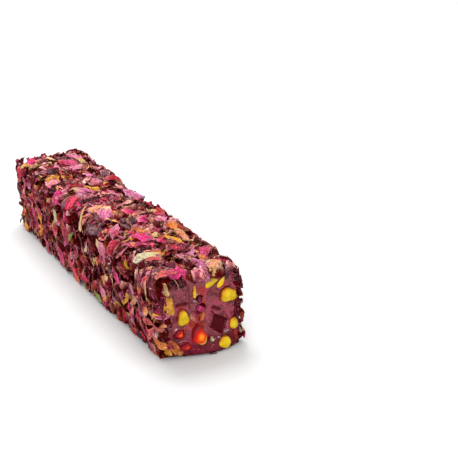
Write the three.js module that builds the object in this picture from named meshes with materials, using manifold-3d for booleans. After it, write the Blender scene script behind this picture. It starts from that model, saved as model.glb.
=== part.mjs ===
// A bar of Turkish delight: a square bar of fruit jelly, rolled in dried rose petals and cut
// straight across at both ends, where the pistachio kernels in the jelly show in section.
// Millimetres, +Z up. The bar lies along Y on its flat base, the front cut end faces -Y, and
// the origin is the middle of the base.
import * as THREE from "three";
import { mergeVertices } from "three/addons/utils/BufferGeometryUtils.js";
import Module from "manifold-3d";

// The jelly with the flakes that lie flat on it, without the petals that stand out.
const jelly = {
  width: 38.6,
  height: 38.6,
  length: 198,
  topRadius: 6,
  baseRadius: 6,
  cutEdge: 0.9, // how far the rim of a cut end is rounded over
  swell: 0.45, // the slow, hand-made unevenness of its sides
  crag: 0.7, // the crinkled relief of the flakes that lie flat
  cell: 5, // spacing of that relief
  arcSteps: 2, // facets in each rounded corner
  baseSteps: 3, // facets across the flat of the base
  rings: 37,
  footRise: 0.2, // every point off the flat of the base is at least this high
};

// The soft foot of a cut end: how far it has sunk forward, how far to the right of the middle it
// stands out most, seen from that end, and where it stops to each side of there.
const slump = { forward: 5.2, aside: 4.5, reach: 17 };

// The dried petals that are large enough to stand out of the coat.
const coat = {
  petals: 148,
  length: [7, 11],
  width: [5, 7.8],
  thickness: 0.6,
  sides: 6,
  tilt: 0.28, // steepest lean against the jelly, in radians
  lift: [-0.1, 0.2], // height of a petal's middle over the jelly
  cup: [-0.5, 0.9], // how far its rim stands above its middle
  wave: 0.5, // how far its rim waves up and down
  broad: 0.25, // how much broader it is near the tip than near the root
  ragged: 0.16, // how torn its outline is
  overhang: 1.8, // how far petals reach past a cut end
  startsAt: 3, // height on the sides where the first petals lie
  lowest: 0.6, // no petal hangs lower than this over the base
  seed: 41,
};

const tiny = 1e-6;

// Steps of a low-discrepancy sequence, from the plastic number, that fills a square evenly.
const evenSteps = [0.7548776662, 0.569840291];

// The kernels that a cut end shows: place and size of each section, seen along +Y, with its turn
// in degrees, and how far it stands proud of the cut. A glazed kernel is under a skin of jelly.
const kernelDepth = 6.5; // half of a kernel's length into the bar
const kernelSet = 1.5; // how far a kernel's middle lies behind the cut
const pocketGap = 0.3;
const frontKernels = [
  { name: "pistachio_1", x: 5.5, z: 33.5, width: 7.4, height: 4.2, turn: 21, proud: 0 },
  { name: "pistachio_2", x: 10.4, z: 32.8, width: 2.8, height: 6.8, turn: -33, proud: 0 },
  { name: "pistachio_3", x: 14.0, z: 25.4, width: 8.0, height: 6.9, turn: 12, proud: 0.3 },
  { name: "pistachio_4", x: -3.1, z: 30.5, width: 1.8, height: 6.6, turn: -2, proud: 0 },
  { name: "pistachio_5", x: -9.3, z: 19.5, width: 5.9, height: 8.4, turn: 5, proud: 0.5 },
  { name: "pistachio_6", x: 15.6, z: 11.2, width: 4.9, height: 6.2, turn: -8, proud: 0.2 },
  { name: "pistachio_7", x: 9.6, z: 4.1, width: 7.2, height: 6.0, turn: -12, proud: 0.4 },
  { name: "glazed_1", x: -3.0, z: 10.6, width: 7.6, height: 9.6, turn: 10, proud: 1.2 },
  { name: "glazed_2", x: -11.9, z: 12.6, width: 4.0, height: 3.9, turn: 0, proud: 0.8 },
  { name: "glazed_3", x: -9.4, z: 6.0, width: 5.0, height: 3.2, turn: 12, proud: 0.7 },
];
const backKernels = [
  { name: "pistachio_1", x: -11.2, z: 27.6, width: 7.4, height: 6.2, turn: 20, proud: 0.3 },
  { name: "pistachio_2", x: 0.6, z: 30.2, width: 6.4, height: 4.4, turn: -24, proud: 0 },
  { name: "pistachio_3", x: 12.2, z: 25.8, width: 5.2, height: 7.6, turn: 14, proud: 0.4 },
  { name: "pistachio_4", x: -3.6, z: 17.4, width: 7.8, height: 5.8, turn: -38, proud: 0 },
  { name: "pistachio_5", x: 7.8, z: 14.6, width: 6.2, height: 7.0, turn: 22, proud: 0.3 },
  { name: "pistachio_6", x: -12.4, z: 8.6, width: 6.4, height: 5.6, turn: -6, proud: 0.2 },
  { name: "glazed_1", x: 0.2, z: 6.2, width: 5.8, height: 7.0, turn: 16, proud: 1.0 },
  { name: "glazed_2", x: 13.4, z: 7.4, width: 4.2, height: 4.6, turn: 0, proud: 0.8 },
];

const wasm = await Module();
wasm.setup();

// A seeded stream of numbers from 0 to 1.
function randomStream(seed) {
  let state = seed;
  return () => {
    state = (state + 0x6d2b79f5) | 0;
    let t = Math.imul(state ^ (state >>> 15), 1 | state);
    t = (t + Math.imul(t ^ (t >>> 7), 61 | t)) ^ t;
    return ((t ^ (t >>> 14)) >>> 0) / 4294967296;
  };
}

const between = ([low, high], share) => low + (high - low) * share;

// A closed geometry from a list of points and a list of triangles.
function geometryOf(points, triangles) {
  const geometry = new THREE.BufferGeometry().setFromPoints(points);
  geometry.setIndex(triangles.flat());
  return geometry;
}

function solidOf(geometry) {
  const bare = geometry.clone();
  bare.deleteAttribute("normal");
  bare.deleteAttribute("uv");
  const merged = mergeVertices(bare, 1e-4);
  return new wasm.Manifold(
    new wasm.Mesh({
      numProp: 3,
      vertProperties: merged.attributes.position.array,
      triVerts: new Uint32Array(merged.index.array),
    }),
  );
}

function geometryFrom(solid) {
  const mesh = solid.getMesh();
  const positions = new Float32Array(mesh.numVert * 3);
  for (let i = 0; i < mesh.numVert; i++) {
    positions.set(mesh.vertProperties.subarray(i * mesh.numProp, i * mesh.numProp + 3), i * 3);
  }
  const geometry = new THREE.BufferGeometry();
  geometry.setAttribute("position", new THREE.BufferAttribute(positions, 3));
  geometry.setIndex(new THREE.BufferAttribute(mesh.triVerts, 1));
  geometry.computeVertexNormals();
  return geometry;
}

// The bar's section in X and Z, from the base's left edge up, over the top, down and back along
// the base.
function jellySection() {
  const { width, height, topRadius: top, baseRadius: base } = jelly;
  const half = width / 2;
  const path = new THREE.Path();
  path.moveTo(base - half, 0);
  path.absarc(base - half, base, base, -Math.PI / 2, -Math.PI, true);
  path.absarc(top - half, height - top, top, Math.PI, Math.PI / 2, true);
  path.absarc(half - top, height - top, top, Math.PI / 2, 0, true);
  path.absarc(half - base, base, base, 0, -Math.PI / 2, true);
  path.lineTo(base - half, 0);
  return path;
}

const section = jellySection();
const end = jelly.length / 2;

// Shares of the section's length at which a ring has its points: even steps along each straight
// and a few in each corner. The base is the last stretch.
function ringShares() {
  const lengths = section.curves.map((curve) => curve.getLength());
  const total = lengths.reduce((sum, length) => sum + length);
  const shares = [0];
  section.curves.forEach((curve, k) => {
    const straight = curve instanceof THREE.LineCurve;
    const onBase = k === lengths.length - 1;
    const sideSteps = straight ? Math.round(lengths[k] / jelly.cell) : jelly.arcSteps;
    const steps = onBase ? jelly.baseSteps : sideSteps;
    const start = shares.at(-1);
    for (let i = 1; i <= steps; i++) shares.push(start + (lengths[k] / total) * (i / steps));
  });
  return { shares: shares.slice(0, -1), baseStart: shares.at(-1 - jelly.baseSteps) };
}

// A place on the jelly's side, u of the way round the section: the point, the direction round
// the section and the one that faces out.
function placeOn(u, y) {
  const at = section.getPointAt(u);
  const along = section.getTangentAt(u);
  return {
    point: new THREE.Vector3(at.x, y, at.y),
    around: new THREE.Vector3(along.x, 0, along.y),
    out: new THREE.Vector3(-along.y, 0, along.x),
  };
}

// Slow waves along and round the bar.
function swellAt(u, y) {
  const along = (y / jelly.length) * Math.PI * 2;
  return jelly.swell * (Math.sin(2 * along + 5 * u) + Math.sin(5 * along + 9 * u + 1) * 0.6);
}

// How far a cut end stands forward: not at all in its upper half, most at its foot.
function slumpAt(x, z, side) {
  const low = Math.max(0, 1 - z / (jelly.height / 2));
  const across = (x + side * slump.aside) / slump.reach;
  return slump.forward * low * Math.max(0, 1 - across * across);
}

// The jelly as rings of points joined along Y, crinkled where flakes lie on it, flat on its
// base, and closed at both ends by a fan.
function jellyCore() {
  const random = randomStream(coat.seed);
  const { rings, cutEdge } = jelly;
  const { shares, baseStart } = ringShares();
  const ring = shares.length;
  const middle = new THREE.Vector3(0, 0, jelly.height / 2);
  const points = [];
  for (let r = 0; r < rings; r++) {
    const atEnd = r === 0 || r === rings - 1;
    const nearEnd = r < 2 || r > rings - 3;
    const inner = -1 + (2 * (r - 1)) / (rings - 3);
    const y = atEnd ? Math.sign(r - 1) * end : inner * (end - cutEdge);
    for (const u of shares) {
      const { point, out } = placeOn(u, y);
      const onBase = u === 0 || u >= baseStart - tiny;
      const free = THREE.MathUtils.smoothstep(point.z, 0, jelly.baseRadius);
      const crag = (random() - 0.5) * 2 * jelly.crag;
      point.addScaledVector(out, free * (swellAt(u, y) + (atEnd ? 0 : crag)));
      if (atEnd) {
        middle.y = y;
        point.add(middle.clone().sub(point).setLength(cutEdge));
      }
      point.z = onBase ? 0 : Math.max(point.z, jelly.footRise);
      if (nearEnd) point.y += Math.sign(y) * slumpAt(point.x, point.z, Math.sign(y));
      points.push(point);
    }
  }
  const triangles = [];
  for (let r = 0; r < rings - 1; r++) {
    for (let i = 0; i < ring; i++) {
      const [a, b] = [r * ring + i, r * ring + ((i + 1) % ring)];
      triangles.push([a, b, b + ring], [a, b + ring, a + ring]);
    }
  }
  for (const [first, y] of [[0, -end], [(rings - 1) * ring, end]]) {
    points.push(new THREE.Vector3(0, y, jelly.height / 2));
    for (let i = 0; i < ring; i++) {
      const [a, b] = [first + i, first + ((i + 1) % ring)];
      triangles.push(y < 0 ? [a, points.length - 1, b] : [a, b, points.length - 1]);
    }
  }
  return solidOf(geometryOf(points, triangles));
}

// One dried petal lying in X and Y with its tip at +Y: broadest near the tip, cupped, waved and
// torn round its rim. Both faces are fans over the same rim points.
function petalGeometry(random) {
  const length = between(coat.length, random());
  const width = between(coat.width, random());
  const cup = between(coat.cup, random());
  const wave = random() * Math.PI * 2;
  const faces = { top: [], under: [] };
  for (let i = 0; i < coat.sides; i++) {
    const angle = (i / coat.sides) * Math.PI * 2;
    const torn = 1 - random() * coat.ragged;
    const x = (width / 2) * Math.cos(angle) * (1 + coat.broad * Math.sin(angle)) * torn;
    const y = (length / 2) * Math.sin(angle) * torn;
    const z = cup * Math.abs(Math.cos(angle)) + coat.wave * Math.sin(2 * angle + wave);
    faces.top.push(new THREE.Vector3(x, y, z + coat.thickness / 2));
    faces.under.push(new THREE.Vector3(x, y, z - coat.thickness / 2));
  }
  const points = [...faces.top, ...faces.under];
  points.push(new THREE.Vector3(0, 0, coat.thickness / 2));
  points.push(new THREE.Vector3(0, 0, -coat.thickness / 2));
  const [n, topMiddle, underMiddle] = [coat.sides, points.length - 2, points.length - 1];
  const triangles = [];
  for (let i = 0; i < n; i++) {
    const j = (i + 1) % n;
    triangles.push([topMiddle, i, j], [underMiddle, n + j, n + i]);
    triangles.push([i, n + i, j], [j, n + i, n + j]);
  }
  return geometryOf(points, triangles);
}

// The petals, spread evenly over the top and both sides by a low-discrepancy sequence, each one
// turned, leaned and rolled at random and half sunk in the jelly.
function coatPetals() {
  const random = randomStream(coat.seed + 1);
  const petals = [];
  for (let k = 1; petals.length < coat.petals; k++) {
    const u = (k * evenSteps[0]) % 1;
    const y = (((k * evenSteps[1]) % 1) * 2 - 1) * (end - coat.overhang);
    const { point, around, out } = placeOn(u, y);
    if (point.z < coat.startsAt) continue;
    point.addScaledVector(out, swellAt(u, y) + between(coat.lift, random()));
    const lie = new THREE.Matrix4().makeBasis(around, new THREE.Vector3(0, 1, 0), out);
    const lean = new THREE.Euler(
      (random() + random() - 1) * coat.tilt,
      (random() + random() - 1) * coat.tilt,
      random() * Math.PI * 2,
      "ZXY",
    );
    const geometry = petalGeometry(random);
    geometry.applyMatrix4(new THREE.Matrix4().makeRotationFromEuler(lean));
    geometry.applyMatrix4(lie.setPosition(point));
    geometry.computeBoundingBox();
    const { min, max } = geometry.boundingBox;
    const reach = end + coat.overhang;
    const shiftY = Math.max(0, -reach - min.y) - Math.max(0, max.y - reach);
    geometry.translate(0, shiftY, Math.max(0, coat.lowest - min.z));
    petals.push(solidOf(geometry));
  }
  return petals;
}

// A whole kernel grown by a margin: an ellipsoid along Y, tapered towards the inside of the bar.
function kernelGeometry(kernel, side, margin) {
  const section = Math.sqrt(1 - (kernelSet / kernelDepth) ** 2);
  const geometry = new THREE.SphereGeometry(1, 8, 6);
  geometry.rotateX(Math.PI / 2);
  geometry.scale(
    kernel.width / 2 / section + margin,
    kernelDepth + margin,
    kernel.height / 2 / section + margin,
  );
  geometry.rotateY(THREE.MathUtils.degToRad(-kernel.turn));
  const forward = slumpAt(kernel.x, kernel.z, side);
  geometry.translate(kernel.x, side * (end + forward - kernelSet), kernel.z);
  return geometry;
}

// A kernel as the knife left it: cut flat at, or a little proud of, the bar's end.
function cutKernel(kernel, side) {
  const depth = 3 * kernelDepth;
  const cut = end + slumpAt(kernel.x, kernel.z, side) + kernel.proud;
  const inside = new THREE.BoxGeometry(2 * jelly.width, depth, 2 * jelly.height);
  inside.translate(0, side * (cut - depth / 2), jelly.height / 2);
  return solidOf(kernelGeometry(kernel, side, 0)).intersect(solidOf(inside));
}

// Jelly and petals as one solid with the kernels' pockets, without loose scraps or sealed voids.
function coatedBar() {
  let bar = coatPetals().reduce((joined, petal) => joined.add(petal), jellyCore());
  for (const [kernels, side] of [[frontKernels, -1], [backKernels, 1]]) {
    for (const kernel of kernels) {
      bar = bar.subtract(solidOf(kernelGeometry(kernel, side, pocketGap)));
    }
  }
  const pieces = bar.decompose();
  return pieces.reduce((largest, piece) => (piece.volume() > largest.volume() ? piece : largest));
}

const finishes = {
  bar: new THREE.MeshStandardMaterial({ color: 0x9c3350, roughness: 0.7, metalness: 0 }),
  pistachio: new THREE.MeshStandardMaterial({ color: 0xd2bc3a, roughness: 0.5, metalness: 0 }),
  glazed: new THREE.MeshStandardMaterial({ color: 0xdb5a1c, roughness: 0.2, metalness: 0 }),
};

function named(name, solid, finish) {
  const mesh = new THREE.Mesh(geometryFrom(solid), finish);
  mesh.name = name;
  return mesh;
}

const delight = new THREE.Group();
delight.add(named("petal_coated_bar", coatedBar(), finishes.bar));
for (const [kernels, side, where] of [[frontKernels, -1, "front"], [backKernels, 1, "back"]]) {
  for (const kernel of kernels) {
    const finish = kernel.name.startsWith("glazed") ? finishes.glazed : finishes.pistachio;
    delight.add(named(`${where}_${kernel.name}`, cutKernel(kernel, side), finish));
  }
}

export default delight;
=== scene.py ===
import math
from types import SimpleNamespace

import bpy
import numpy as np
from mathutils import Matrix


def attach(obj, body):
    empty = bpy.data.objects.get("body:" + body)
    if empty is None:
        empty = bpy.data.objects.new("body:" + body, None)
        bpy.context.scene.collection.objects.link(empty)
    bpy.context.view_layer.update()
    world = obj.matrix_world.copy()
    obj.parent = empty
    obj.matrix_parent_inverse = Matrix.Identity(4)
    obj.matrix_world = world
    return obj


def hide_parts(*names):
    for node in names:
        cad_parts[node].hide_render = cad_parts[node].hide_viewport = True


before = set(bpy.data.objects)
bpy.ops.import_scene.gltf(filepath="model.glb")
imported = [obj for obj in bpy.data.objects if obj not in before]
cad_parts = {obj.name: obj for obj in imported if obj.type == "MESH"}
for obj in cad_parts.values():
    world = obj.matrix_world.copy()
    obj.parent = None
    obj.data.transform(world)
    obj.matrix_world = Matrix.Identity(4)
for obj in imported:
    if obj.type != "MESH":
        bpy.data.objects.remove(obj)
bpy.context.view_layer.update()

mm = 0.001  # every size below is in millimetres, and goes into a mesh in metres


def tone(red, green, blue):
    # A colour as a screen shows it, 0 to 255, as the linear one that a shader takes.
    share = np.array([red, green, blue]) / 255
    linear = np.where(share <= 0.04045, share / 12.92, ((share + 0.055) / 1.055) ** 2.4)
    return (*(float(x) for x in linear), 1.0)


def palette(colours):
    return SimpleNamespace(**{name: tone(*colour) for name, colour in colours.items()})


def smoothstep(low, high, x):
    share = np.clip((x - low) / (high - low), 0, 1)
    return share * share * (3 - 2 * share)


# A camera level with a person who sits at the table and looks down on the bar's near corner.
view = {
    "place": (-194.6, -504.9, 237.1),
    "turn": -27.3,  # degrees about Z from looking along +Y
    "down": 21.5,
    "roll": -1.26,
    "lens": 87.1,  # mm on a 36 mm wide sensor
}


def makeCamera():
    turn, down, roll = (math.radians(view[key]) for key in ("turn", "down", "roll"))
    ahead = [-math.sin(turn) * math.cos(down), math.cos(turn) * math.cos(down), -math.sin(down)]
    ahead = np.array(ahead)
    level = np.array([math.cos(turn), math.sin(turn), 0])
    upright = np.cross(level, ahead)
    right = math.cos(roll) * level + math.sin(roll) * upright
    up = math.cos(roll) * upright - math.sin(roll) * level
    camera = bpy.data.objects.new("camera", bpy.data.cameras.new("camera"))
    camera.data.lens = view["lens"]
    camera.data.sensor_width = 36
    camera.data.clip_start = 0.01
    bpy.context.scene.collection.objects.link(camera)
    place = Matrix(np.column_stack([right, up, -ahead]).tolist()).to_4x4()
    place.translation = [mm * x for x in view["place"]]
    camera.matrix_world = place
    bpy.context.scene.camera = camera


makeCamera()
bpy.context.scene.view_settings.view_transform = "Standard"
print("camera placed")


class Wire:
    # A socket in a material. Arithmetic on it adds Math nodes.
    def __init__(self, recipe, socket):
        self.recipe, self.socket = recipe, socket

    def __add__(self, other):
        return self.recipe.maths("ADD", self, other)

    def __sub__(self, other):
        return self.recipe.maths("SUBTRACT", self, other)

    def __rsub__(self, other):
        return self.recipe.maths("SUBTRACT", other, self)

    def __mul__(self, other):
        return self.recipe.maths("MULTIPLY", self, other)

    def __truediv__(self, other):
        return self.recipe.maths("DIVIDE", self, other)

    __radd__, __rmul__ = __add__, __mul__


class Recipe:
    # A new material and the nodes in it.
    def __init__(self, name):
        self.material = bpy.data.materials.new(name)
        self.material.use_nodes = True
        self.tree = self.material.node_tree
        self.tree.nodes.clear()

    def add(self, kind, settings=None, sockets=None, output=0):
        # A node of a kind, its settings first, then its sockets' values or links.
        node = self.tree.nodes.new("ShaderNode" + kind)
        for key, value in (settings or {}).items():
            setattr(node, key, value)
        for key, value in (sockets or {}).items():
            if isinstance(value, Wire):
                self.tree.links.new(value.socket, node.inputs[key])
            else:
                node.inputs[key].default_value = value
        return Wire(self, node.outputs[output]) if node.outputs else None

    def maths(self, operation, *values):
        return self.add("Math", {"operation": operation}, dict(enumerate(values)))

    def rise(self, value, low, high):
        # 0 where value is under low, 1 where it is over high, smooth between.
        settings = {"interpolation_type": "SMOOTHSTEP"}
        return self.add("MapRange", settings, {"Value": value, "From Min": low, "From Max": high})

    def mix(self, share, first, second):
        settings = {"data_type": "RGBA", "clamp_factor": True}
        return self.add("Mix", settings, {0: share, 6: first, 7: second}, output=2)

    def scale(self, colour, share):
        return self.add("VectorMath", {"operation": "SCALE"}, {0: colour, "Scale": share})

    def noise(self, place, scale, detail=3.0, rough=0.5, warp=0.0):
        sockets = {"Vector": place, "Scale": scale, "Detail": detail, "Roughness": rough,
                   "Distortion": warp}
        return self.add("TexNoise", None, sockets)

    def vector(self, x, y, z):
        return self.add("CombineXYZ", None, {0: x, 1: y, 2: z})

    def body(self):
        return self.add("TexCoord", None, None, output="Object")

    def number(self, name):
        return self.add("Attribute", {"attribute_name": name}, None, output="Fac")

    def paint(self, name):
        return self.add("Attribute", {"attribute_name": name}, None, output="Color")

    def bump(self, height, strength, distance):
        sockets = {"Strength": strength, "Distance": distance * mm, "Height": height}
        return self.add("Bump", None, sockets)

    def finish(self, **sockets):
        # The shader that the material ends in. Underscores stand for the spaces in its sockets' names.
        named = {key.replace("_", " "): value for key, value in sockets.items()}
        shader = self.add("BsdfPrincipled", None, named)
        self.add("OutputMaterial", None, {"Surface": shader})
        return self.material


bar = {
    "width": 36.6,  # the jelly alone
    "height": 37.0,
    "length": 198.0,
    "topRadius": 4.5,
    "baseRadius": 4.0,
    "footing": 0.9,  # the petals under the jelly are this thick
    "swell": 0.45,  # how far its sides wave in and out
    "swellFrom": 5.0,  # up to this height over its base they wave less
    "flare": {"out": 3.2, "height": 7.0, "full": 75.0},  # its foot spreads, less near the near end
    "belly": {"out": 1.1, "full": 14.0, "right": (6, 16)},  # fuller past the near end and on the right
    "cutEdge": 1.1,  # rounding where a cut end meets the sides
    "inward": 9.0,  # how far in over a cut end its outline can be drawn
    "slump": {"forward": 5.2, "aside": 4.5, "reach": 17.0, "height": 19.3, "start": 10.0},
}
end = bar["length"] / 2
faceStart = end + (math.pi / 2 - 1) * bar["cutEdge"]  # y, as onBar takes it, where a cut end is flat


def barSection(points=721):
    # Four quarter circles joined by straight lines, from the middle of the underside up the left
    # side, over the top and down the right side, at even steps, with the way on at each step.
    half, low, high = bar["width"] / 2, bar["footing"], bar["height"]
    base, top = bar["baseRadius"], bar["topRadius"]
    corners = [(base - half, low + base, base, -90, -180), (top - half, high - top, top, 180, 90),
               (half - top, high - top, top, 90, 0), (half - base, low + base, base, 0, -90)]
    x, z = [0.0], [low]
    for middleX, middleZ, radius, start, stop in corners:
        angle = np.radians(np.linspace(start, stop, 25))
        x.extend(middleX + radius * np.cos(angle))
        z.extend(middleZ + radius * np.sin(angle))
    x, z = np.array([*x, 0.0]), np.array([*z, low])
    way = np.concatenate([[0], np.cumsum(np.hypot(np.diff(x), np.diff(z)))])
    p = np.linspace(0, way[-1], points)
    x, z = np.interp(p, way, x), np.interp(p, way, z)
    onX, onZ = np.gradient(x, p), np.gradient(z, p)
    size = np.hypot(onX, onZ)
    return SimpleNamespace(round=way[-1], p=p, x=x, z=z, onX=onX / size, onZ=onZ / size)


section = barSection()
underside = bar["width"] / 2 - bar["baseRadius"]  # half the flat of the base
leftBase = underside + math.pi / 2 * bar["baseRadius"]  # way round at which the left side is upright


# The way round the section to a place on top, on the left side and on the right side.
def topAt(x):
    return section.round / 2 + x


def leftAt(z):
    return leftBase + z - bar["footing"] - bar["baseRadius"]


def rightAt(z):
    return section.round - leftAt(z)


def swellAt(p, y):
    # Two slow waves that run along and round the bar.
    along = y / bar["length"] * 2 * math.pi
    share = (p - underside) / (section.round - 2 * underside)
    wave = np.sin(2 * along + 5 * share) + 0.6 * np.sin(5 * along + 9 * share + 1)
    return bar["swell"] * wave


def slumpAt(x, z, side):
    # How far a cut end has sunk forward: not in its upper half, most at its foot and to one side.
    slump = bar["slump"]
    low = np.clip(1 - z / slump["height"], 0, 1)
    across = (x + side * slump["aside"]) / slump["reach"]
    return slump["forward"] * low * np.maximum(0, 1 - across ** 2)


def onBar(p, y, height):
    # The place p round the section and y along it, height out from the jelly. Past a cut end, y
    # runs on round its edge and in over the end itself. Gives the place, and there the directions
    # on round the section, on along the bar and out.
    q = np.mod(p, section.round)
    x, z, onX, onZ = (np.interp(q, section.p, row) for row in
                      (section.x, section.z, section.onX, section.onZ))
    edge, inward = bar["cutEdge"], bar["inward"]
    side = np.where(y < 0, -1.0, 1.0)
    over = np.maximum(np.abs(y) - (end - edge), 0)
    turn = np.minimum(over / edge, math.pi / 2)
    coreX = bar["width"] / 2 - inward
    inX = np.clip(x, -coreX, coreX) - x
    inZ = np.clip(z, bar["footing"] + inward, bar["height"] - inward) - z
    size = np.hypot(inX, inZ)
    inX, inZ = inX / size, inZ / size
    inset = edge * (1 - np.cos(turn)) + np.maximum(over - edge * math.pi / 2, 0)
    free = smoothstep(0, bar["swellFrom"], z - bar["footing"]) * np.cos(turn)
    out = np.stack([-onZ * np.cos(turn), side * np.sin(turn), onX * np.cos(turn)], -1)
    on = np.stack([onX, np.zeros_like(x), onZ], -1)
    along = np.stack([side * np.sin(turn) * inX, np.cos(turn), side * np.sin(turn) * inZ], -1)
    straight = side * (np.minimum(np.abs(y), end - edge) + edge * np.sin(turn))
    place = np.stack([x + inX * inset, straight, z + inZ * inset], -1)
    belly, flare = bar["belly"], bar["flare"]
    full = np.maximum(smoothstep(0, belly["full"], end + y), smoothstep(*belly["right"], x))
    place = place + out * (height + free * (swellAt(q, y) + belly["out"] * full))[..., None]
    spread = flare["out"] * smoothstep(flare["height"], 0, place[..., 2])
    spread = spread * smoothstep(0, flare["full"], end + y)
    place[..., 0] += spread * np.sign(x) * smoothstep(underside - 3, bar["width"] / 2, np.abs(x))
    near = smoothstep(end - bar["slump"]["start"], end, np.abs(y))
    place[..., 1] += side * near * slumpAt(place[..., 0], place[..., 2], side)
    return place, on, along, out


def makeMesh(name, points, quads, flat=None, maps=None, numbers=None, paints=None):
    # A mesh from arrays: points in mm, four corners a face, which faces are flat-shaded, UV maps
    # by name with one place a point, and one number or one colour a point by name.
    mesh = bpy.data.meshes.new(name)
    mesh.vertices.add(len(points))
    mesh.vertices.foreach_set("co", (points * mm).astype(np.float32).ravel())
    mesh.loops.add(quads.size)
    mesh.loops.foreach_set("vertex_index", quads.astype(np.int32).ravel())
    mesh.polygons.add(len(quads))
    mesh.polygons.foreach_set("loop_start", np.arange(0, quads.size, quads.shape[1], dtype=np.int32))
    smooth = np.ones(len(quads), bool) if flat is None else ~flat
    mesh.polygons.foreach_set("use_smooth", smooth)
    mesh.update(calc_edges=True)
    for label, places in (maps or {}).items():
        layer = mesh.uv_layers.new(name=label)
        layer.uv.foreach_set("vector", places[quads.ravel()].astype(np.float32).ravel())
    for label, values in (numbers or {}).items():
        mesh.attributes.new(label, "FLOAT", "POINT").data.foreach_set("value", values.astype(np.float32))
    for label, values in (paints or {}).items():
        full = np.concatenate([values, np.ones((len(values), 1))], 1).astype(np.float32)
        mesh.attributes.new(label, "FLOAT_COLOR", "POINT").data.foreach_set("color", full.ravel())
    piece = bpy.data.objects.new(name, mesh)
    bpy.context.scene.collection.objects.link(piece)
    return piece


def closeRings(rings):
    # Points and faces of a closed form from rings of points that follow each other: four corners
    # between each two rings, and a fan over each end.
    count, size = rings.shape[:2]
    ring, at = np.meshgrid(np.arange(count - 1), np.arange(size), indexing="ij")
    after = (at + 1) % size
    walls = np.stack([ring * size + at, ring * size + after, (ring + 1) * size + after,
                      (ring + 1) * size + at], -1).reshape(-1, 4)
    points = np.concatenate([rings.reshape(-1, 3), [rings[0].mean(0)], [rings[-1].mean(0)]])
    at = np.arange(0, size, 2)
    last, pole = (count - 1) * size, np.full_like(at, count * size)
    near = np.stack([pole, (at + 2) % size, at + 1, at], -1)
    far = np.stack([pole + 1, last + at, last + at + 1, last + (at + 2) % size], -1)
    return points, np.concatenate([walls, near, far])


def dress(piece, material, slot, *nodes):
    # Gives a piece its material, attaches it to what it moves with, and hides the nodes it stands for.
    piece.data.materials.append(material)
    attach(piece, "root")
    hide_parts(*nodes)


def cutKernel(node, side):
    # A kernel's cut face: its middle, its longer axis, and half of its length and width.
    onCutTo = 0.05  # how near the cut a corner of its face lies
    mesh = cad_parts[node].data
    points = np.empty(len(mesh.vertices) * 3, np.float32)
    mesh.vertices.foreach_get("co", points)
    points = points.reshape(-1, 3) / mm
    cut = side * (side * points[:, 1]).max()
    outline = points[np.abs(points[:, 1] - cut) < onCutTo][:, [0, 2]]
    middle = (outline.max(0) + outline.min(0)) / 2
    turn = np.linalg.eigh(np.cov((outline - middle).T))[1][:, ::-1]
    turn = turn * np.sign(turn[0, 0])
    turn[:, 1] *= np.linalg.det(turn)
    half = np.abs((outline - middle) @ turn).max(0)
    return SimpleNamespace(node=node, side=side, cut=cut, middle=middle, turn=turn, half=half,
                           depth=np.ptp(points[:, 1]), glazed="glazed" in node)


kernels = {side: [cutKernel(name, side) for name in sorted(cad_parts) if name.startswith(label)]
           for side, label in ((-1, "front_"), (1, "back_"))}


def kernelShare(kernel, x, z):
    # How far out a place on the cut face is in a kernel: 0 in its middle and 1 at its outline.
    offset = np.stack([x - kernel.middle[0], z - kernel.middle[1]], -1) @ kernel.turn
    return np.hypot(offset[..., 0] / kernel.half[0], offset[..., 1] / kernel.half[1])


jelly = {
    "capRings": 60,  # rings of points on a cut face
    "edgeRings": 6,
    "sideRings": 110,
    "round": 300,
    "pocket": 1.5,  # how deep the jelly is hollowed behind a kernel's cut face
    "pocketEdge": (0.55, 0.8),  # as shares of the way out to the kernel's outline
    "swollen": 1.0,  # how far it rises to a kernel that it covers
    "swollenEdge": (1.7, 0.9),
    "groove": 0.25,  # how far it has drawn back round a kernel
    "grooveAt": 1.04,
    "grooveWidth": 0.1,
    "cleft": {"depth": 0.5, "at": 1.1, "width": 0.22},  # the wider gap on a loose kernel's one side
    "bud": {"rim": 0.5, "rimWidth": 0.45, "depth": 0.7},
    "waves": 0.3,  # how uneven a cut face is
    "jagged": 0.22,  # how uneven the edges of its hollows are
    "crinkle": 0.4,  # how uneven its sides are
    # The hollow tone is the dark red of the painted shade in hollows, grooves, clefts and buds.
    "tones": {"clear": (136, 6, 50), "deep": (112, 8, 34), "streak": (68, 3, 10), "low": (64, 4, 14),
              "ember": (108, 16, 6), "flame": (164, 44, 12), "speck": (226, 120, 90),
              "hollow": (66, 3, 12), "side": (50, 2, 4)},
}
# Hollows in a cut face, such as where a kernel fell out: corners in x and z, depth, and how much painted
# shade darkens them.
hollows = [
    {"corners": [(4.6, 19.4), (12.9, 13.6), (9.2, 7.6), (2.7, 12.6)], "depth": 1.5, "dark": 1.0},
    {"corners": [(4.8, 21.4), (6.6, 21.7), (10.3, 18.9), (9.6, 18.1), (5.2, 20.1)], "depth": 0.5,
     "dark": 0.8},
    {"corners": [(9.6, 7.4), (15.6, 8.0), (16.4, 2.6), (12.6, 1.2)], "depth": 0.4, "dark": 0.55},
    {"corners": [(-6.4, 34.6), (-5.4, 34.6), (-4.9, 22.5), (-6.2, 22.5)], "depth": 0.35, "dark": 0.5},
    {"corners": [(-12.6, 26.6), (-6.2, 26.2), (-5.6, 24.6), (-12.9, 24.7)], "depth": 0.4, "dark": 0.8},
    {"corners": [(-16, 37), (-7, 37), (-7, 34.6), (-16, 33.6)], "depth": 0.3, "dark": 0.55},
    {"corners": [(-5, 15.4), (2, 17), (2.4, 14.6), (-4.5, 13.6)], "depth": 0.3, "dark": 0.4},
]
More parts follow.
